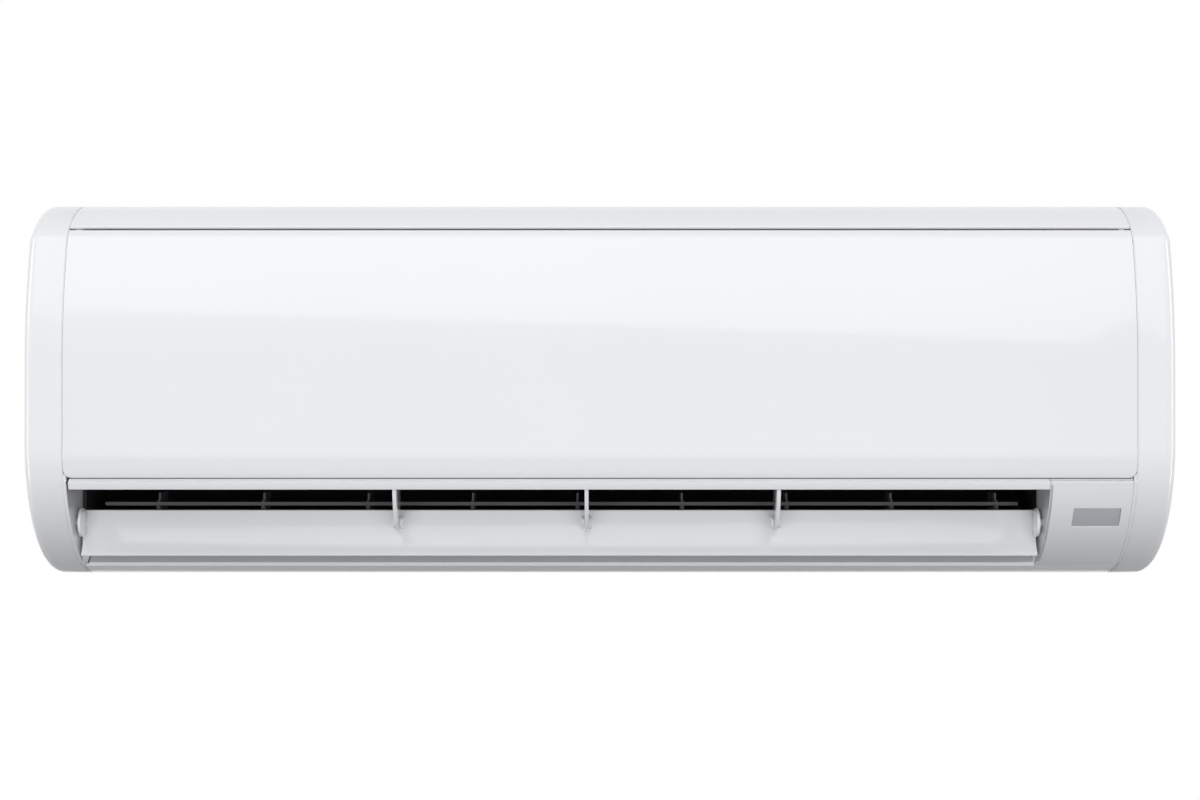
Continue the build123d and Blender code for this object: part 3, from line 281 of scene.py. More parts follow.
def joinPieces(pieces, name):
    bpy.ops.object.select_all(action="DESELECT")
    for piece in pieces:
        piece.select_set(True)
    bpy.context.view_layer.objects.active = pieces[0]
    bpy.ops.object.join()
    piece = namePiece(name)
    smooth(piece)
    return piece


def finish(piece, body, material, replaced):
    # every piece ends here: its place goes into its mesh, then it rides and takes its finish
    pick(piece)
    bpy.ops.object.transform_apply(location=True, rotation=True, scale=True)
    piece.data.materials.clear()
    piece.data.materials.append(material)
    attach(piece, body)
    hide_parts(replaced)


def capEnds(piece, left, right):
    # close a swept tube at both ends
    bpy.ops.mesh.select_all(action="SELECT")
    bpy.ops.mesh.remove_doubles(threshold=2 * touch)
    for end in (left, right):
        select(piece, lambda middle, edge: same(middle.x, end) and len(edge.link_faces) == 1, "EDGE")
        bpy.ops.mesh.edge_face_add()
    bpy.ops.mesh.select_all(action="SELECT")
    bpy.ops.mesh.normals_make_consistent(inside=False)


def sidePrism(name, left, right, points, radii=None):
    # a closed side view carried from one X to another; each point has a rounding radius
    points = [Vector(point) for point in points]
    radii = radii or [0] * len(points)
    start = (points[0] + points[-1]) / 2        # start half-way along the last side
    piece = startEdge(name, left, right, start.x, start.y)
    sweepCorners([start] + points + [start], [max(radius, tiny) for radius in radii], outline["prismAngle"])
    capEnds(piece, left, right)
    objectMode()
    return piece


def disc(name, left, right, radius, centre, vertices, edge):
    # round plate or pin along X with softened rims
    bpy.ops.object.select_all(action="DESELECT")
    bpy.ops.mesh.primitive_cylinder_add(
        vertices=vertices, radius=radius, depth=right - left,
        location=((left + right) / 2, *centre), rotation=(0, math.pi / 2, 0))
    piece = namePiece(name)
    bpy.ops.object.transform_apply(location=True, rotation=True, scale=True)
    softenEdges(piece, edge)
    return piece


def arcPoint(centre, radius, degrees):
    turn = math.radians(degrees)
    return centre + Vector((math.cos(turn), math.sin(turn))) * radius


def bellyPoint(z, inset=0.0):
    # place on the round belly at a height
    return Vector((bellyY - math.sqrt((bellyRadius - inset) ** 2 - (z - bellyZ) ** 2), z))


def bellyFloor(depth):
    # height of the belly's outside at a depth from the front
    return bellyZ - math.sqrt(bellyRadius ** 2 - (bellyRadius - depth) ** 2)


casing = {
    "wall": 0.0025,
    "capWidth": 0.0308,
    "edge": 0.0006,
    "softEdge": 0.0003,
    "groove": 0.0008,
    "fitGap": 0.0003,
}
seamX = endX - casing["capWidth"]
panelX = seamX - casing["groove"]
casingX = seamX - casing["wall"] - casing["fitGap"]
cheekX = seamX - casing["wall"]

frontPanel = {
    "top": 0.0233,
    "bottom": 0.0816,
    "wall": 0.0024,
    "rim": 0.0066,
    "corner": 0.0065,
    "edge": 0.0009,
    "bend": {"deg": 11.5, "rise": 0.0985, "radius": 0.030, "endRise": 0.0816},
    "back": 0.060,
    "rimTop": 0.033,
    "rimSide": 0.0075,
    "rimFoot": 0.001,
    "barrelRadius": 0.003,
    "barrelLength": 0.010,
    "pinRadius": 0.0015,
    "pinRoot": 0.001,
    "hingeInset": 0.024,
    "hingeDrop": 0.0285,
}


def makeFrontPanel():
    bottom = high(frontPanel["bottom"])
    skin = sweepOutline("frontPanelSkin", -panelX, panelX, 0, frontPanel["bend"])
    cut((0, 0, low(frontPanel["top"])), (0, 0, 1))
    cut((0, deep(frontPanel["back"]), 0), (0, 1, 0))
    facesOut(skin)
    select(skin, lambda middle, vert: same(middle.z, bottom) and same(abs(middle.x), panelX))
    bpy.ops.mesh.bevel(offset=frontPanel["corner"], segments=8, affect="VERTICES", clamp_overlap=False)
    # rims run back from the sides and the bottom, but stop below the hinge
    rimTop = low(frontPanel["rimTop"])
    divide((0, 0, rimTop), (0, 0, 1))
    rimX = panelX - frontPanel["rimSide"]
    rimFoot = bottom + frontPanel["rimFoot"]
    select(skin, lambda middle, edge: len(edge.link_faces) == 1 and middle.z < rimTop + tiny
           and (abs(middle.x) > rimX or middle.z < rimFoot), "EDGE")
    bpy.ops.mesh.extrude_edges_move(TRANSFORM_OT_translate={"value": (0, frontPanel["rim"], 0)})
    facesOut(skin)
    thicken(skin, frontPanel["wall"], frontPanel["edge"])
    pieces = [skin]
    hinge = (deep(frontPanel["hingeInset"]), low(frontPanel["hingeDrop"]))
    barrel = (panelX - frontPanel["barrelLength"], panelX, frontPanel["barrelRadius"])
    pin = (panelX - frontPanel["pinRoot"], seamX + casing["wall"], frontPanel["pinRadius"])
    for side in (-1, 1):
        for near, far, radius in (barrel, pin):
            left, right = sorted((side * near, side * far))
            pieces.append(disc("hingeBarrel", left, right, radius, hinge, vertices=24, edge=radius / 6))
    return joinPieces(pieces, "frontPanelPiece")


topTrim = {
    "drop": 0.021,
    "back": 0.084,
    "stopLeft": 0.360,
    "stopInset": 0.061,
    "stopWall": 0.0015,
    "stopTop": 0.0045,
}


def makeTopTrim():
    skin = sweepOutline("topTrimSkin", -panelX, panelX, 0)
    cut((0, 0, low(topTrim["drop"])), (0, 0, -1))
    cut((0, deep(topTrim["back"]), 0), (0, 1, 0))
    facesOut(skin)
    thicken(skin, casing["wall"], casing["edge"])
    # rib over the control box, so that no light shows through the seam
    near = deep(topTrim["stopInset"])
    far = near + topTrim["stopWall"]
    foot = low(topTrim["drop"]) + casing["fitGap"]
    head = low(topTrim["stopTop"])
    stop = sidePrism("trimStop", topTrim["stopLeft"], panelX - casing["fitGap"],
                     [(near, foot), (near, head), (far, head), (far, foot)])
    return joinPieces([skin, stop], "topTrimPiece")


def openAcross(edge):
    # an open edge that runs along X
    return len(edge.link_faces) == 1 and not same(edge.verts[0].co.x, edge.verts[1].co.x)


def sidePlate(name, left, right, top, back):
    # cheek beside the mouth, in the shape of the belly
    piece = sweepOutline(name, left, right, 0)
    cut((0, 0, top), (0, 0, 1))
    cut((0, back, 0), (0, 1, 0))
    select(piece, lambda middle, edge: same(middle.z, top) and openAcross(edge), "EDGE")
    bpy.ops.mesh.extrude_edges_move(TRANSFORM_OT_translate={"value": (0, back - bellyPoint(top).x, 0)})
    select(piece, lambda middle, edge: same(middle.y, back) and openAcross(edge), "EDGE")
    bpy.ops.mesh.edge_face_add()
    capEnds(piece, left, right)
    objectMode()
    softenEdges(piece, casing["softEdge"], segments=1)
    return piece


mouth = {
    "top": 0.0725,
    "lip": 0.0066,
    "right": 0.3517,
    "back": 0.0676,
    "cheekReach": 0.060,
    "webInset": 0.014,
    "webTop": 0.100,
    "shelf": 0.003,
    "stepInset": 0.003,
    "stepRise": 0.0018,
    "sideGap": 0.0015,
    "edge": 0.0004,
    "fillet": 0.0005,
    "bellyRound": 0.05,
    "lipRounds": (0.0008, 0.0006),
}
lipTopZ = high(mouth["top"] + mouth["lip"])
mouthTopZ = high(mouth["top"])

endCap = {
    "round": 0.010,
    "endInset": 0.00015,
    "pastWall": 0.04,
    "ledge": 0.00055,
    "ribInset": 0.001,
    "ribDepth": 0.0105,
    "cheekRoot": 0.0005,
    "stopShare": 0.62,
    "stopInset": 0.0012,
    "stopDepth": 0.008,
    "stopRoot": 0.002,
}


def makeEndCap(side):
    name = "rightEndCapPiece" if side > 0 else "leftEndCapPiece"
    end = side * (endX - endCap["endInset"])
    left, right = sorted((side * seamX, end))
    # longer than needed, so that its end trims clean
    skin = sweepOutline(name, left, right, 0, backY=endCap["pastWall"])
    select(skin, lambda middle, edge: same(middle.x, end) and len(edge.link_faces) == 1, "EDGE")
    bpy.ops.mesh.edge_face_add()
    facesOut(skin)
    select(skin, lambda middle, edge: same(middle.x, end) and len(edge.link_faces) == 2, "EDGE")
    bpy.ops.mesh.bevel(offset=endCap["round"], segments=8, affect="EDGES", clamp_overlap=False)
    bpy.ops.mesh.select_all(action="SELECT")
    bpy.ops.mesh.remove_doubles(threshold=2 * tiny)
    cut((0, 0, 0), (0, 1, 0))
    facesOut(skin)
    thicken(skin, casing["wall"], casing["edge"], segments=2, even=False)
    # upright rib behind the seam, carries the panel pins
    near, far = sorted((side * (seamX - endCap["ledge"]), side * (seamX + casing["wall"])))
    rib = sweepOutline("capRib", near, far, endCap["ribInset"])
    facesOut(rib)
    thicken(rib, endCap["ribDepth"], edge=0)
    near, far = sorted((side * cheekX, side * (seamX + endCap["cheekRoot"])))
    cheek = sidePlate("capCheek", near, far, lipTopZ, deep(mouth["cheekReach"]))
    # stop behind the rounded corner of the panel
    corner = frontPanel["corner"]
    foot = high(frontPanel["bottom"])
    top = foot + corner * endCap["stopShare"]
    bottom = lipTopZ - endCap["stopRoot"]
    back = bellyPoint(top).x + endCap["stopDepth"]
    section = [bellyPoint(z, endCap["stopInset"]) for z in (bottom, top)]
    section += [(back, top), (back, bottom)]
    stop = sidePrism("capStop", near, far, section)
    reach = (corner + casing["fitGap"]) * math.sqrt(0.5)        # out to the middle of the round
    editMode(stop)
    cut((side * (panelX - corner + reach), 0, foot + corner - reach), (-side, 0, 1), fill=True)
    objectMode()
    return joinPieces([skin, rib, cheek, stop], name)


def lipPrism(name, left, right, bottomZ, foot=(0, 0)):
    # strip, step behind the panel's foot, shelf and upright web, clockwise from the lower front
    wall = casing["wall"]
    step = bellyPoint(lipTopZ).x + mouth["stepInset"]
    stepTop = lipTopZ + mouth["stepRise"]
    web = deep(mouth["webInset"])
    webTop = high(mouth["webTop"])
    shelfZ = lipTopZ - mouth["shelf"]
    edge = mouth["edge"]
    corners = [
        (bellyPoint(bottomZ), foot[0]),
        (bellyPoint((bottomZ + lipTopZ) / 2), mouth["bellyRound"]),
        (bellyPoint(lipTopZ), mouth["fillet"]),
        ((step, lipTopZ), edge),
        ((step, stepTop), mouth["fillet"]),
        ((web, stepTop), 0),
        ((web, webTop), edge),
        ((web + wall, webTop), edge),
        ((web + wall, shelfZ), mouth["fillet"]),
        ((bellyPoint(shelfZ, wall).x, shelfZ), foot[1]),
        (bellyPoint(bottomZ, wall), foot[1]),
    ]
    points, radii = zip(*corners)
    return sidePrism(name, left, right, points, radii)


def makeOutletLip():
    left = mouth["sideGap"] - casingX
    right = mouth["right"] - casing["fitGap"]
    piece = lipPrism("outletLipPiece", left, right, mouthTopZ, mouth["lipRounds"])
    softenEdges(piece, mouth["edge"], segments=1, degrees=60)
    return piece


display = {
    "centreX": 0.39015,
    "width": 0.0373,
    "top": 0.0575,
    "bottom": 0.0424,
    "recess": 0.0006,
    "pane": 0.0018,
    "corner": 0.0008,
    "edge": 0.0004,
    "windowBack": 0.042,
    "pegRadius": 0.0015,
    "pegOut": 0.0015,
    "pegInset": 0.002,
    "pegLength": 0.0055,
    "pegEdge": 0.0002,
}
# plates that close the duct's lower right corner, below its side wall
ductStop = {
    "front": 0.0602,
    "frontRise": 0.0302,
    "back": 0.0674,
    "backRise": 0.0267,
    "sink": 0.001,
    "wall": 0.0013,
    "gap": 0.0002,
}


def makeDisplayCover():
    left = display["centreX"] - display["width"] / 2
    right = display["centreX"] + display["width"] / 2
    bottom = high(display["bottom"])
    top = high(display["top"])
    skin = sweepOutline("displaySkin", mouth["right"], casingX, 0)
    cut((0, 0, lipTopZ), (0, 0, 1))
    cut((0, deep(mouth["back"]), 0), (0, 1, 0))
    for z in (bottom, top):
        divide((0, 0, z), (0, 0, 1))
    for x in (left, right):
        divide((x, 0, 0), (1, 0, 0))
    select(skin, lambda middle, face: left < middle.x < right and bottom < middle.z < top, "FACE")
    bpy.ops.mesh.delete(type="FACE")
    select(skin, lambda middle, vert: any(same(middle.x, x) and same(middle.z, z)
                                          for x in (left, right) for z in (bottom, top)))
    bpy.ops.mesh.bevel(offset=display["corner"], segments=3, affect="VERTICES", clamp_overlap=False)
    facesOut(skin, display["centreX"])
    thicken(skin, casing["wall"], display["edge"], segments=2)
    wallRight = mouth["right"] + casing["wall"]
    cheek = sidePlate("displayCheek", mouth["right"], wallRight, lipTopZ, deep(mouth["cheekReach"]))
    web = lipPrism("displayWeb", mouth["right"], casingX, lipTopZ - mouth["shelf"])
    near, far = ductStop["front"], ductStop["back"]
    stop = sidePrism("displayStop", mouth["right"], wallRight, [
        (deep(near), bellyFloor(near) + ductStop["sink"]),
        (deep(near), high(ductStop["frontRise"])),
        (deep(far), high(ductStop["backRise"])),
        (deep(far), bellyFloor(far) + ductStop["sink"]),
    ])
    pieces = [skin, cheek, web, stop]
    # pegs that hold the window, square to the belly
    outside = bellyPoint((top + bottom) / 2)
    inwards = (Vector((bellyY, bellyZ)) - outside).normalized()
    spot = outside + inwards * (display["pegInset"] + display["pegLength"] / 2)
    for side in (-1, 1):
        bpy.ops.object.select_all(action="DESELECT")
        bpy.ops.mesh.primitive_cylinder_add(
            vertices=20, radius=display["pegRadius"], depth=display["pegLength"],
            location=(display["centreX"] + side * (display["width"] / 2 + display["pegOut"]), spot.x, spot.y),
            rotation=(math.atan2(-inwards.x, inwards.y), 0, 0))
        peg = namePiece("displayPeg")
        bpy.ops.object.transform_apply(location=True, rotation=True, scale=True)
        softenEdges(peg, display["pegEdge"], segments=1)
        pieces.append(peg)
    return joinPieces(pieces, "displayCoverPiece")


def makeDisplayWindow():
    gap = casing["fitGap"]
    half = display["width"] / 2 - gap
    piece = sweepOutline("displayWindowPiece", display["centreX"] - half, display["centreX"] + half,
                         display["recess"])
    cut((0, 0, high(display["top"]) - gap), (0, 0, 1))
    cut((0, 0, high(display["bottom"]) + gap), (0, 0, -1))
    cut((0, deep(display["windowBack"]), 0), (0, 1, 0))
    select(piece, lambda middle, vert: len(vert.link_edges) == 2)
    bpy.ops.mesh.bevel(offset=display["corner"], segments=3, affect="VERTICES", clamp_overlap=False)
    facesOut(piece, display["centreX"])
    thicken(piece, display["pane"], display["edge"], segments=2)
    return piece


# the bottom casing's flange runs back over the front of the duct floor
flange = {
    "slopeDeg": 37.47,
    "back": 0.085,
    "lift": 0.0011,
    "frontLift": 0.0006,
    "frontGap": 0.0001,
    "wallGap": 0.0005,
    "wall": 0.0013,
    "round": 0.0008,
    "edge": 0.0004,
    "soft": 0.0003,
}


def makeBottomCasing():
    near = deep(mouth["back"]) + casing["fitGap"]
    skin = sweepOutline("bottomCasingSkin", -casingX, casingX, 0)
    cut((0, 0, mouthTopZ), (0, 0, 1))
    cut((0, near, 0), (0, -1, 0))
    cut((0, -flange["wallGap"], 0), (0, 1, 0))
    facesOut(skin)
    thicken(skin, casing["wall"], casing["edge"])
    slope = math.tan(math.radians(flange["slopeDeg"]))
    far = deep(flange["back"])
    frontZ = bellyFloor(mouth["back"]) + casing["fitGap"] * slope
    backZ = bellyFloor(mouth["back"]) + (flange["back"] - mouth["back"]) * slope
    top = flange["lift"] + flange["wall"]
    front = near + flange["frontGap"]
    section = [
        (front, frontZ + flange["frontLift"]),
        (front, frontZ + top),
        (far, backZ + top),
        (far, backZ + flange["lift"]),
        (near + casing["wall"], frontZ + casing["wall"] * slope + flange["lift"]),
    ]
    lip = sidePrism("casingFlange", casing["wall"] + casing["fitGap"] - casingX, mouth["right"], section,
                    [0, flange["round"], flange["edge"], flange["edge"], 0])
    softenEdges(lip, flange["soft"], segments=1, degrees=60)
    gap = ductStop["gap"]
    stopTop = backZ + top - gap
    stop = sidePrism("casingStop", mouth["right"] - ductStop["wall"], mouth["right"], [
        (near + gap, frontZ + flange["lift"]),
        (near + gap, stopTop),
        (far - gap, stopTop),
        (far - gap, backZ + flange["lift"]),
    ])
    return joinPieces([skin, lip, stop], "bottomCasingPiece")


louverBlade = {
    "pivotInset": 0.042,
    "pivotRise": 0.045,
    "topInset": 0.056,
    "topRise": 0.0543,
    "bottomInset": 0.046,
    "bottomRise": 0.019,
    "radius": 0.064,
    "wall": 0.0022,
    "bead": 0.0018,
    "ear": 0.0115,
    "earWall": 0.0025,
    "endGap": 0.0027,
    "pin": 0.003,
    "postPin": 0.0022,
    "pinRoot": 0.001,
    "rib": 0.0018,
    "ribRadius": 0.0045,
    "ribRound": 0.0042,
    "tipRound": 0.0009,
    "edges": {"blade": 0.0004, "ear": 0.0006, "pin": 0.0003, "rib": 0.0002},
    "beadTurns": (35, 62, 90, 118, 145),
    "steps": 14,
}
posts = {
    "wall": 0.003,
    "middleX": -0.0105,
    "pitch": 0.1505,
    "count": 3,
    "front": 0.010,
    "inset": 0.0015,
    "bottom": 0.043,
    "boss": 0.0055,
    "bossProud": 0.0001,
    "steps": 6,
    "rounds": {"belly": 0.02, "toe": 0.001, "heel": 0.003},
    "edge": 0.0005,
}
pivot = Vector((deep(louverBlade["pivotInset"]), high(louverBlade["pivotRise"])))
postSteps = [n - (posts["count"] - 1) / 2 for n in range(posts["count"])]
postPlaces = [posts["middleX"] + posts["pitch"] * step for step in postSteps]


def bladeArc():
    # centre of the blade's bend, seen from the side, with its upper and lower end
    top = Vector((deep(louverBlade["topInset"]), high(louverBlade["topRise"])))
    bottom = Vector((deep(louverBlade["bottomInset"]), high(louverBlade["bottomRise"])))
    half = (top - bottom) / 2
    across = Vector((half.y, -half.x)).normalized()
    if across.x > 0:
        across = -across
    reach = math.sqrt(louverBlade["radius"] ** 2 - half.length ** 2)
    return (top + bottom) / 2 + across * reach, top, bottom


def makeLouver():
    centre, top, bottom = bladeArc()
    outer = louverBlade["radius"]
    inner = outer - louverBlade["wall"]
    edges = louverBlade["edges"]
    root = louverBlade["pinRoot"]
    topTurn = math.degrees(math.atan2(top.y - centre.y, top.x - centre.x))
    bottomTurn = math.degrees(math.atan2(bottom.y - centre.y, bottom.x - centre.x))
    steps = louverBlade["steps"]
    turns = [topTurn + (bottomTurn - topTurn) * n / steps for n in range(steps)]
    bead = arcPoint(centre, (outer + inner) / 2, bottomTurn)
    sweepWay = -1 if bottomTurn < topTurn else 1
    beadTurns = [bottomTurn + sweepWay * turn for turn in louverBlade["beadTurns"]]
    section = [arcPoint(centre, outer, turn) for turn in turns]
    section += [arcPoint(bead, louverBlade["bead"], turn) for turn in beadTurns]
    section += [arcPoint(centre, inner, turn) for turn in reversed(turns)]
    left = louverBlade["endGap"] - cheekX
    right = mouth["right"] - louverBlade["endGap"]
    radii = [0] * len(section)
    radii[0] = radii[-1] = louverBlade["tipRound"]
    blade = sidePrism("louverBlade", left, right, section, radii)
    softenEdges(blade, edges["blade"], segments=2, degrees=60)
    pieces = [blade]
    earWall = louverBlade["earWall"]
    for near, far in ((left, left + earWall), (right - earWall, right)):
        pieces.append(disc("louverEar", near, far, louverBlade["ear"], pivot, vertices=48, edge=edges["ear"]))
    for near, far in ((-seamX, left + root), (right - root, mouth["right"] + casing["wall"])):
        pieces.append(disc("louverPin", near, far, louverBlade["pin"], pivot, vertices=32, edge=edges["pin"]))
    # a pair of ribs beside each post, with a pin through the post
    toBlade = centre + (pivot - centre).normalized() * (outer - louverBlade["wall"] / 2)
    reach = toBlade - pivot
    across = Vector((-reach.y, reach.x)).normalized() * louverBlade["ribRadius"]
    back = -reach.normalized() * louverBlade["ribRadius"]
    inside = posts["wall"] / 2 + casing["fitGap"]
    ribSection = [pivot + back - across, pivot + back + across, toBlade + across, toBlade - across]
    ribRadii = [louverBlade["ribRound"], louverBlade["ribRound"], 0, 0]
    for x in postPlaces:
        for start in (x - inside - louverBlade["rib"], x + inside):
            rib = sidePrism("louverRib", start, start + louverBlade["rib"], ribSection, ribRadii)
            softenEdges(rib, edges["rib"], segments=1, degrees=60)
            pieces.append(rib)
        pieces.append(disc("louverPostPin", x - inside - root, x + inside + root, louverBlade["postPin"],
                           pivot, vertices=24, edge=edges["rib"]))
    return joinPieces(pieces, "louverPiece")


def makePosts():
    top = lipTopZ - mouth["shelf"] - casing["fitGap"] - casing["wall"]
    bottom = high(posts["bottom"])
    back = pivot.x + louverBlade["ribRadius"]
    front = max(deep(posts["front"]), bellyPoint(top, posts["inset"]).x)
    steps = posts["steps"]
    heights = [top + (bottom - top) * n / steps for n in range(steps + 1)]
    section = [(max(front, bellyPoint(z, posts["inset"]).x), z) for z in heights]
    section += [(back, bottom), (back, top)]
    rounds = posts["rounds"]
    radii = [0] + [rounds["belly"]] * (steps - 1) + [rounds["toe"], rounds["heel"], 0]
    half = posts["wall"] / 2
    boss = half + posts["bossProud"]
    edge = louverBlade["edges"]["pin"]
    pieces = []
    for x in postPlaces:
        post = sidePrism("louverPost", x - half, x + half, section, radii)
        softenEdges(post, posts["edge"], segments=2, degrees=60)
        pieces.append(post)
        pieces.append(disc("postBoss", x - boss, x + boss, posts["boss"], pivot, vertices=32, edge=edge))
    return joinPieces(pieces, "louverPostsPiece")


def colour(red, green, blue):
    # screen values 0-255 to linear
    linear = [(v / 12.92 if v <= 0.04045 else ((v + 0.055) / 1.055) ** 2.4)
              for v in (red / 255, green / 255, blue / 255)]
    return (*linear, 1.0)


def startGroup(name, inputs):
    group = bpy.data.node_groups.new(name, "ShaderNodeTree")
    for label, kind, value in inputs:
        socket = group.interface.new_socket(name=label, in_out="INPUT", socket_type=kind)
        socket.default_value = value
    for label, kind in (("Tone", "Color"), ("Gloss", "Float"), ("Height", "Float")):
        group.interface.new_socket(name=label, in_out="OUTPUT", socket_type="NodeSocket" + kind)
    return group, group.nodes.new("NodeGroupInput").outputs


def endGroup(group, tone, gloss, height):
    end = group.nodes.new("NodeGroupOutput")
    for label, value in (("Tone", tone), ("Gloss", gloss), ("Height", height)):
        group.links.new(value, end.inputs[label])
    return group


def addNode(tree, kind, links=None, **values):
    # a node with its settings, and what feeds its inputs by name or number
    node = tree.nodes.new(kind)
    for key, value in values.items():
        setattr(node, key, value)
    for socket, value in (links or {}).items():
        target = node.inputs[socket]
        if isinstance(value, bpy.types.NodeSocket):
            tree.links.new(value, target)
        else:
            target.default_value = value
    return node


def objectSpot(tree, scale=(1, 1, 1)):
    place = addNode(tree, "ShaderNodeTexCoord")
    mapped = addNode(tree, "ShaderNodeMapping", {"Vector": place.outputs["Object"], "Scale": scale})
    return mapped.outputs["Vector"]


def calculate(tree, operation, first, second=0.0):
    return addNode(tree, "ShaderNodeMath", {0: first, 1: second}, operation=operation).outputs[0]


def noise(tree, spot, scale, detail=2.0, rough=0.5):
    return addNode(tree, "ShaderNodeTexNoise", {
        "Vector": spot, "Scale": scale, "Detail": detail, "Roughness": rough,
    }).outputs["Fac"]


def cells(tree, spot, scale):
    return addNode(tree, "ShaderNodeTexVoronoi", {"Vector": spot, "Scale": scale}).outputs["Distance"]


def stretch(tree, value, source, target=(0, 1)):
    return addNode(tree, "ShaderNodeMapRange", {
        "Value": value,
        "From Min": source[0],
        "From Max": source[1],
        "To Min": target[0],
        "To Max": target[1],
    }).outputs["Result"]


def mixColour(tree, amount, first, second):
    # input 0 is the amount, 6 and 7 are the two colours
    return addNode(tree, "ShaderNodeMix", {0: amount, 6: first, 7: second}, data_type="RGBA").outputs[2]


def makeGrainGroup():
    # moulded plastic: slow tone drift, fine skin grain and faint flow marks along the moulding
    group, given = startGroup("mouldedSkin", [
        ("Tone", "NodeSocketColor", (0.8, 0.8, 0.8, 1)),
        ("Shade", "NodeSocketColor", (0.7, 0.7, 0.7, 1)),
        ("Grain Scale", "NodeSocketFloat", 900),
        ("Gloss Low", "NodeSocketFloat", 0.2),
        ("Gloss High", "NodeSocketFloat", 0.3),
        ("Flow", "NodeSocketFloat", 0.3),
    ])
    spot = objectSpot(group)
    drift = noise(group, spot, scale=3.5, detail=3)
    patch = noise(group, objectSpot(group, (0.4, 1, 1)), scale=26)
    flow = noise(group, objectSpot(group, (0.08, 1, 1)), scale=38, detail=1)
    fine = noise(group, spot, given["Grain Scale"], rough=0.6)
    tone = mixColour(group, stretch(group, drift, (0.3, 0.7)), given["Tone"], given["Shade"])
    gloss = stretch(group, patch, (0.3, 0.7), (given["Gloss Low"], given["Gloss High"]))
    height = calculate(group, "ADD", fine, calculate(group, "MULTIPLY", flow, given["Flow"]))
    return endGroup(group, tone, gloss, height)


def makeBrushGroup():
    # rolled or drawn metal: long scratches, cloudy oxide, small pits
    group, given = startGroup("drawnMetal", [
        ("Tone", "NodeSocketColor", (0.6, 0.6, 0.6, 1)),
        ("Oxide", "NodeSocketColor", (0.4, 0.4, 0.4, 1)),
        ("Gloss Low", "NodeSocketFloat", 0.25),
        ("Gloss High", "NodeSocketFloat", 0.5),
        ("Oxide Amount", "NodeSocketFloat", 0.4),
    ])
    spot = objectSpot(group)
    streak = noise(group, objectSpot(group, (0.03, 1, 1)), scale=1400, rough=0.6)
    cloud = noise(group, spot, scale=34, detail=4, rough=0.62)
    pit = noise(group, spot, scale=420, detail=1)
    amount = calculate(group, "MULTIPLY", stretch(group, cloud, (0.42, 0.72)), given["Oxide Amount"])
    tone = mixColour(group, amount, given["Tone"], given["Oxide"])
    mixed = calculate(group, "ADD", streak, cloud)
    gloss = stretch(group, mixed, (0.7, 1.3), (given["Gloss Low"], given["Gloss High"]))
    return endGroup(group, tone, gloss, calculate(group, "ADD", streak, pit))


mouldedSkin = makeGrainGroup()
drawnMetal = makeBrushGroup()


def startMaterial(name):
    material = bpy.data.materials.new(name)
    material.use_nodes = True
    tree = material.node_tree
    return material, tree, tree.nodes["Principled BSDF"]


def useGroup(tree, group, inputs):
    return addNode(tree, "ShaderNodeGroup", inputs, node_tree=group).outputs


def dress(tree, shader, tone, gloss, height, strength, depth):
    # colour, roughness and fine relief of a surface
    bump = addNode(tree, "ShaderNodeBump", {"Height": height, "Strength": strength, "Distance": depth})
    for label, value in (("Base Color", tone), ("Roughness", gloss), ("Normal", bump.outputs["Normal"])):
        tree.links.new(value, shader.inputs[label])


def plastic(name, tone, shade, gloss, grain=900, bump=0.04, flow=0.3, coat=0.0, coatGloss=0.06):
    material, tree, shader = startMaterial(name)
    skin = useGroup(tree, mouldedSkin, {
        "Tone": colour(*tone), "Shade": colour(*shade), "Gloss Low": gloss[0], "Gloss High": gloss[1],
        "Grain Scale": grain, "Flow": flow,
    })
    dress(tree, shader, skin["Tone"], skin["Gloss"], skin["Height"], bump, depth=0.0004)
    shader.inputs["Coat Weight"].default_value = coat
    shader.inputs["Coat Roughness"].default_value = coatGloss
    return material


def metal(name, tone, oxide, gloss, oxideAmount=0.4, bump=0.05):
    material, tree, shader = startMaterial(name)
    sheet = useGroup(tree, drawnMetal, {
        "Tone": colour(*tone), "Oxide": colour(*oxide), "Gloss Low": gloss[0], "Gloss High": gloss[1],
        "Oxide Amount": oxideAmount,
    })
    dress(tree, shader, sheet["Tone"], sheet["Gloss"], sheet["Height"], bump, depth=0.0003)
    shader.inputs["Metallic"].default_value = 1.0
    return material


def stripes(tree, axis, pitch, share):
    # thin repeated bands across an axis, 1 inside a band
    place = addNode(tree, "ShaderNodeTexCoord")
    parts = addNode(tree, "ShaderNodeSeparateXYZ", {0: place.outputs["Object"]})
    turns = calculate(tree, "DIVIDE", parts.outputs[axis], pitch)
    return calculate(tree, "LESS_THAN", calculate(tree, "FRACT", turns), share)


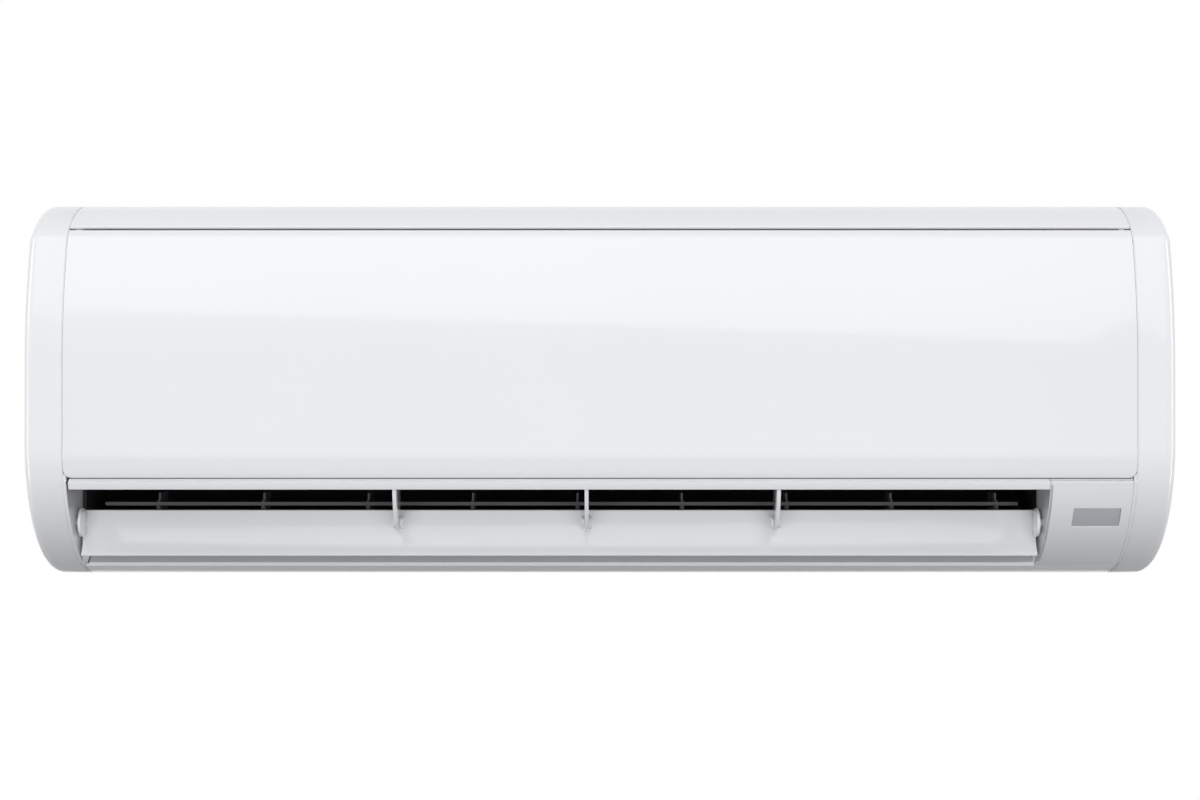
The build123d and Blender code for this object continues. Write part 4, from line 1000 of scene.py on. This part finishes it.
finishes = {
    "panel_white": plastic("glossPanelWhite", (246, 247, 249), (244, 245, 247), (0.23, 0.25),
                           grain=420, bump=0.012, coat=1.0),
    "casing_white": plastic("casingWhite", (247, 248, 250), (245, 246, 249), (0.29, 0.32),
                            grain=700, bump=0.02, flow=0.1, coat=0.7),
    "inner_white": plastic("innerWhite", (230, 231, 232), (222, 223, 225), (0.4, 0.5)),
    "louver_white": plastic("louverWhite", (245, 246, 247), (243, 244, 246), (0.3, 0.33),
                            grain=800, bump=0.02, flow=0.1, coat=1.0),
    "window_grey": plastic("windowGrey", (190, 194, 198), (184, 188, 192), (0.18, 0.24),
                           grain=500, bump=0.02, coat=0.5),
    # the chassis and duct plastics are dark in their own right, and dark enough to stand in for the deep
    # shade inside the duct: own colour and painted shade
    "chassis_black": plastic("chassisBlackPaintedShade", (38, 39, 41), (30, 31, 33), (0.45, 0.6), grain=800, bump=0.08),
    "duct_black": plastic("ductBlackPaintedShade", (26, 27, 28), (18, 19, 20), (0.5, 0.65), grain=800, bump=0.08),
    # the vanes' dark grey is partly their plastic's colour and partly painted shade for the dim inside of the
    # duct
    "vane_grey": plastic("vaneGreyPaintedShade", (82, 84, 87), (72, 74, 77), (0.4, 0.5), grain=800, bump=0.05),
    "fan_black": plastic("fanBlack", (34, 35, 37), (26, 27, 29), (0.35, 0.5), bump=0.06),
    "bearing_plastic": plastic("bearingPlastic", (205, 201, 190), (190, 186, 174), (0.35, 0.45)),
    "black_rubber": plastic("blackRubber", (28, 28, 29), (40, 40, 42), (0.7, 0.85),
                            grain=1100, bump=0.2, flow=0.0),
    "motor_resin": plastic("motorResin", (226, 224, 216), (210, 207, 198), (0.45, 0.6),
                           grain=500, bump=0.15),
    "box_black": plastic("boxBlack", (44, 45, 47), (36, 37, 39), (0.45, 0.55), grain=700, bump=0.1),
    "terminal_cream": plastic("terminalCream", (224, 214, 190), (212, 201, 175), (0.4, 0.5)),
    "sensor_black": plastic("sensorBlack", (24, 24, 26), (34, 34, 37), (0.35, 0.5)),
    "button_grey": plastic("buttonGrey", (176, 179, 183), (166, 169, 174), (0.35, 0.45), bump=0.08),
    "filter_grey": plastic("filterGrey", (72, 78, 84), (62, 68, 74), (0.5, 0.6), bump=0.1),
    "zinc_steel": metal("zincSteel", (186, 190, 192), (150, 153, 153), (0.32, 0.52), oxideAmount=0.5),
    "shaft_steel": metal("shaftSteel", (176, 178, 182), (140, 142, 146), (0.18, 0.35), oxideAmount=0.3),
    "copper_tube": metal("copperTube", (206, 126, 92), (150, 84, 62), (0.22, 0.45), oxideAmount=0.5),
    "union_brass": metal("unionBrass", (204, 170, 96), (160, 126, 70), (0.2, 0.4)),
    "brass_pin": metal("pinBrass", (206, 174, 104), (168, 136, 78), (0.2, 0.38)),
}


def makeFinStack():
    # thin aluminium fins on one sheet: painted shade for the gap between fins, bright metal for each fin edge
    material, tree, shader = startMaterial("coilFins")
    gap = stripes(tree, 0, pitch=0.0014, share=0.45)
    sheet = useGroup(tree, drawnMetal, {
        "Tone": colour(196, 200, 204), "Oxide": colour(168, 172, 178), "Gloss Low": 0.35, "Gloss High": 0.55,
        "Oxide Amount": 0.5,
    })
    # painted shade: the gaps between fins are coloured dark and made less metallic
    tone = mixColour(tree, gap, sheet["Tone"], colour(44, 46, 50))
    dress(tree, shader, tone, sheet["Gloss"], stretch(tree, gap, (0, 1), (1, 0)), strength=0.5, depth=0.0006)
    tree.links.new(stretch(tree, gap, (0, 1), (0.9, 0.1)), shader.inputs["Metallic"])
    return material


def makeFoam():
    # closed-cell foam sleeve: matt, pitted, slightly yellowed
    material, tree, shader = startMaterial("paleFoam")
    spot = objectSpot(tree)
    pores = cells(tree, spot, scale=700)
    cloud = noise(tree, spot, scale=22, detail=3)
    aged = stretch(tree, cloud, (0.35, 0.65))
    tone = mixColour(tree, aged, colour(226, 224, 216), colour(206, 203, 192))
    shadow = mixColour(tree, stretch(tree, pores, (0, 0.5), (0.25, 0)), tone, colour(150, 147, 138))
    gloss = stretch(tree, cloud, (0.3, 0.7), (0.8, 0.95))
    dress(tree, shader, shadow, gloss, pores, strength=0.5, depth=0.0006)
    return material


def makeHose():
    # soft grey hose, ribbed along its last run, with painted shade in the grooves between the ribs
    material, tree, shader = startMaterial("hoseGrey")
    skin = useGroup(tree, mouldedSkin, {
        "Tone": colour(196, 197, 198), "Shade": colour(182, 183, 185), "Gloss Low": 0.45, "Gloss High": 0.58,
    })
    rib = addNode(tree, "ShaderNodeTexWave", {
        "Vector": objectSpot(tree), "Scale": 62, "Distortion": 0.0,
    }, wave_type="BANDS", bands_direction="Y", wave_profile="SIN").outputs["Fac"]
    # painted shade: the tone darkens in the grooves between ribs
    tone = mixColour(tree, stretch(tree, rib, (0, 1), (0.35, 0)), skin["Tone"], colour(140, 141, 144))
    dress(tree, shader, tone, skin["Gloss"], rib, strength=0.8, depth=0.001)
    return material


def makeBoard():
    # circuit board: green mask with faint copper tracks and pads under it
    material, tree, shader = startMaterial("boardGreen")
    spot = objectSpot(tree)
    black = colour(0, 0, 0)
    tracks = addNode(tree, "ShaderNodeTexBrick", {
        "Vector": spot, "Scale": 120, "Mortar Size": 0.03, "Color1": black, "Color2": black,
        "Mortar": colour(255, 255, 255),
    }, offset=0.37).outputs["Fac"]
    pads = calculate(tree, "LESS_THAN", cells(tree, spot, scale=260), 0.16)
    patch = stretch(tree, noise(tree, spot, scale=30), (0.3, 0.7))
    mask = mixColour(tree, patch, colour(30, 92, 58), colour(24, 80, 50))
    traced = mixColour(tree, stretch(tree, tracks, (0, 1), (0, 0.45)), mask, colour(66, 132, 84))
    tone = mixColour(tree, pads, traced, colour(196, 190, 168))
    gloss = stretch(tree, pads, (0, 1), (0.3, 0.45))
    dress(tree, shader, tone, gloss, tracks, strength=0.3, depth=0.0002)
    return material


finishes["coil_fins"] = makeFinStack()
finishes["pale_foam"] = makeFoam()
finishes["hose_grey"] = makeHose()
finishes["board_green"] = makeBoard()
print("finishes made:", len(finishes))

slotOf = {row["node"]: row["material_slot"] for row in frame["record"]["subparts"]}
for name, node in nodes.items():
    if node.material_slots:
        for holder in node.material_slots:
            holder.material = finishes[slotOf[name]]
    else:
        node.data.materials.append(finishes[slotOf[name]])

pieces = [
    (makeFrontPanel, "panel", "front_panel"),
    (makeTopTrim, "casing", "top_trim"),
    (lambda: makeEndCap(-1), "casing", "left_end_cap"),
    (lambda: makeEndCap(1), "casing", "right_end_cap"),
    (makeOutletLip, "casing", "outlet_lip"),
    (makeDisplayCover, "casing", "display_cover"),
    (makeDisplayWindow, "casing", "display_window"),
    (makeBottomCasing, "casing", "bottom_casing"),
    (makeLouver, "louver", "louver"),
    (makePosts, "casing", "louver_supports"),
]
for make, body, node in pieces:
    piece = make()
    finish(piece, body, finishes[slotOf[node]], node)
    print("made", piece.name, len(piece.data.polygons))

# studio: white all round, pale floor, a large soft box in front and above, a low fill in front
# and a tall strip light on each side
studio = {
    "floorDrop": 0.75,
    "floorSize": 3.2,
    "floorTone": colour(246, 246, 247),
    "floorBounce": colour(84, 85, 88),
    "floorGloss": 0.9,
    "skyTone": (0.965, 0.98, 1.0, 1),
    "skyHeights": (-0.25, 1.0),
    "skyPower": (0.02, 0.56),
    "aimInset": 0.05,
    "keyPower": 26.0,
    "keySize": (4.2, 2.1),
    "keySpot": (-0.1, -2.07, 1.52),
    "keyTilt": -8.0,
    "fillPower": 26.0,
    "fillSize": (3.0, 0.9),
    "fillSpot": (0, -2.3, -0.3),
    "stripPower": 8.0,
    "stripSize": (0.2, 1.8),
    "stripSpot": (2.1, -0.35, 0.1),
    "cameraSpot": (0, -1.855, -0.0075),
    "lens": 63.66,
    "sensor": 36,
}


def addLamp(name, spot, size, power, tilt=0, mirrored=True):
    # soft box aimed at the middle of the unit
    light = bpy.data.lights.new(name, "AREA")
    light.shape = "RECTANGLE"
    light.size, light.size_y = size
    light.energy = power
    lamp = bpy.data.objects.new(name, light)
    bpy.context.scene.collection.objects.link(lamp)
    lamp.location = spot
    aim = (Vector((0, deep(studio["aimInset"]), 0)) - Vector(spot)).to_track_quat("-Z", "Y")
    lamp.rotation_mode = "QUATERNION"
    lamp.rotation_quaternion = aim @ Quaternion((0, 0, 1), math.radians(tilt))
    lamp.visible_camera = False
    lamp.visible_glossy = mirrored


def openRay(tree):
    # 1 for the rays that show the background: straight, mirrored or seen through glass
    path = addNode(tree, "ShaderNodeLightPath")
    first = calculate(tree, "MAXIMUM", path.outputs["Is Camera Ray"], path.outputs["Is Glossy Ray"])
    return calculate(tree, "MAXIMUM", first, path.outputs["Is Transmission Ray"])


def makeStudio():
    bpy.ops.object.select_all(action="DESELECT")
    bpy.ops.mesh.primitive_plane_add(size=studio["floorSize"], location=(0, 0, -studio["floorDrop"]))
    floor = namePiece("studioFloor")
    bpy.ops.object.transform_apply(location=True)
    material, tree, shader = startMaterial("paleFloor")
    tone = mixColour(tree, openRay(tree), studio["floorBounce"], studio["floorTone"])
    tree.links.new(tone, shader.inputs["Base Color"])
    shader.inputs["Roughness"].default_value = studio["floorGloss"]
    floor.data.materials.append(material)

    world = bpy.data.worlds.new("studioSky")
    bpy.context.scene.world = world
    world.use_nodes = True
    tree = world.node_tree
    tree.nodes.clear()
    place = addNode(tree, "ShaderNodeTexCoord")
    parts = addNode(tree, "ShaderNodeSeparateXYZ", {0: place.outputs["Generated"]})
    level = stretch(tree, parts.outputs["Z"], studio["skyHeights"], studio["skyPower"])
    dim = addNode(tree, "ShaderNodeBackground", {"Color": studio["skyTone"], "Strength": level})
    plain = addNode(tree, "ShaderNodeBackground", {"Color": colour(255, 255, 255), "Strength": 1.0})
    mixed = addNode(tree, "ShaderNodeMixShader", {0: openRay(tree), 1: dim.outputs[0], 2: plain.outputs[0]})
    addNode(tree, "ShaderNodeOutputWorld", {0: mixed.outputs[0]})

    addLamp("keyLight", studio["keySpot"], studio["keySize"], studio["keyPower"], studio["keyTilt"])
    addLamp("frontFill", studio["fillSpot"], studio["fillSize"], studio["fillPower"], mirrored=False)
    x, y, z = studio["stripSpot"]
    addLamp("leftStrip", (-x, y, z), studio["stripSize"], studio["stripPower"])
    addLamp("rightStrip", (x, y, z), studio["stripSize"], studio["stripPower"])

    camera = bpy.data.cameras.new("photoCamera")
    camera.lens = studio["lens"]
    camera.sensor_width = studio["sensor"]
    holder = bpy.data.objects.new("photoCamera", camera)
    holder.location = studio["cameraSpot"]
    holder.rotation_euler = (math.pi / 2, 0, 0)
    bpy.context.scene.collection.objects.link(holder)
    bpy.context.scene.camera = holder
    bpy.context.scene.view_settings.view_transform = "Standard"


makeStudio()
print("studio set")
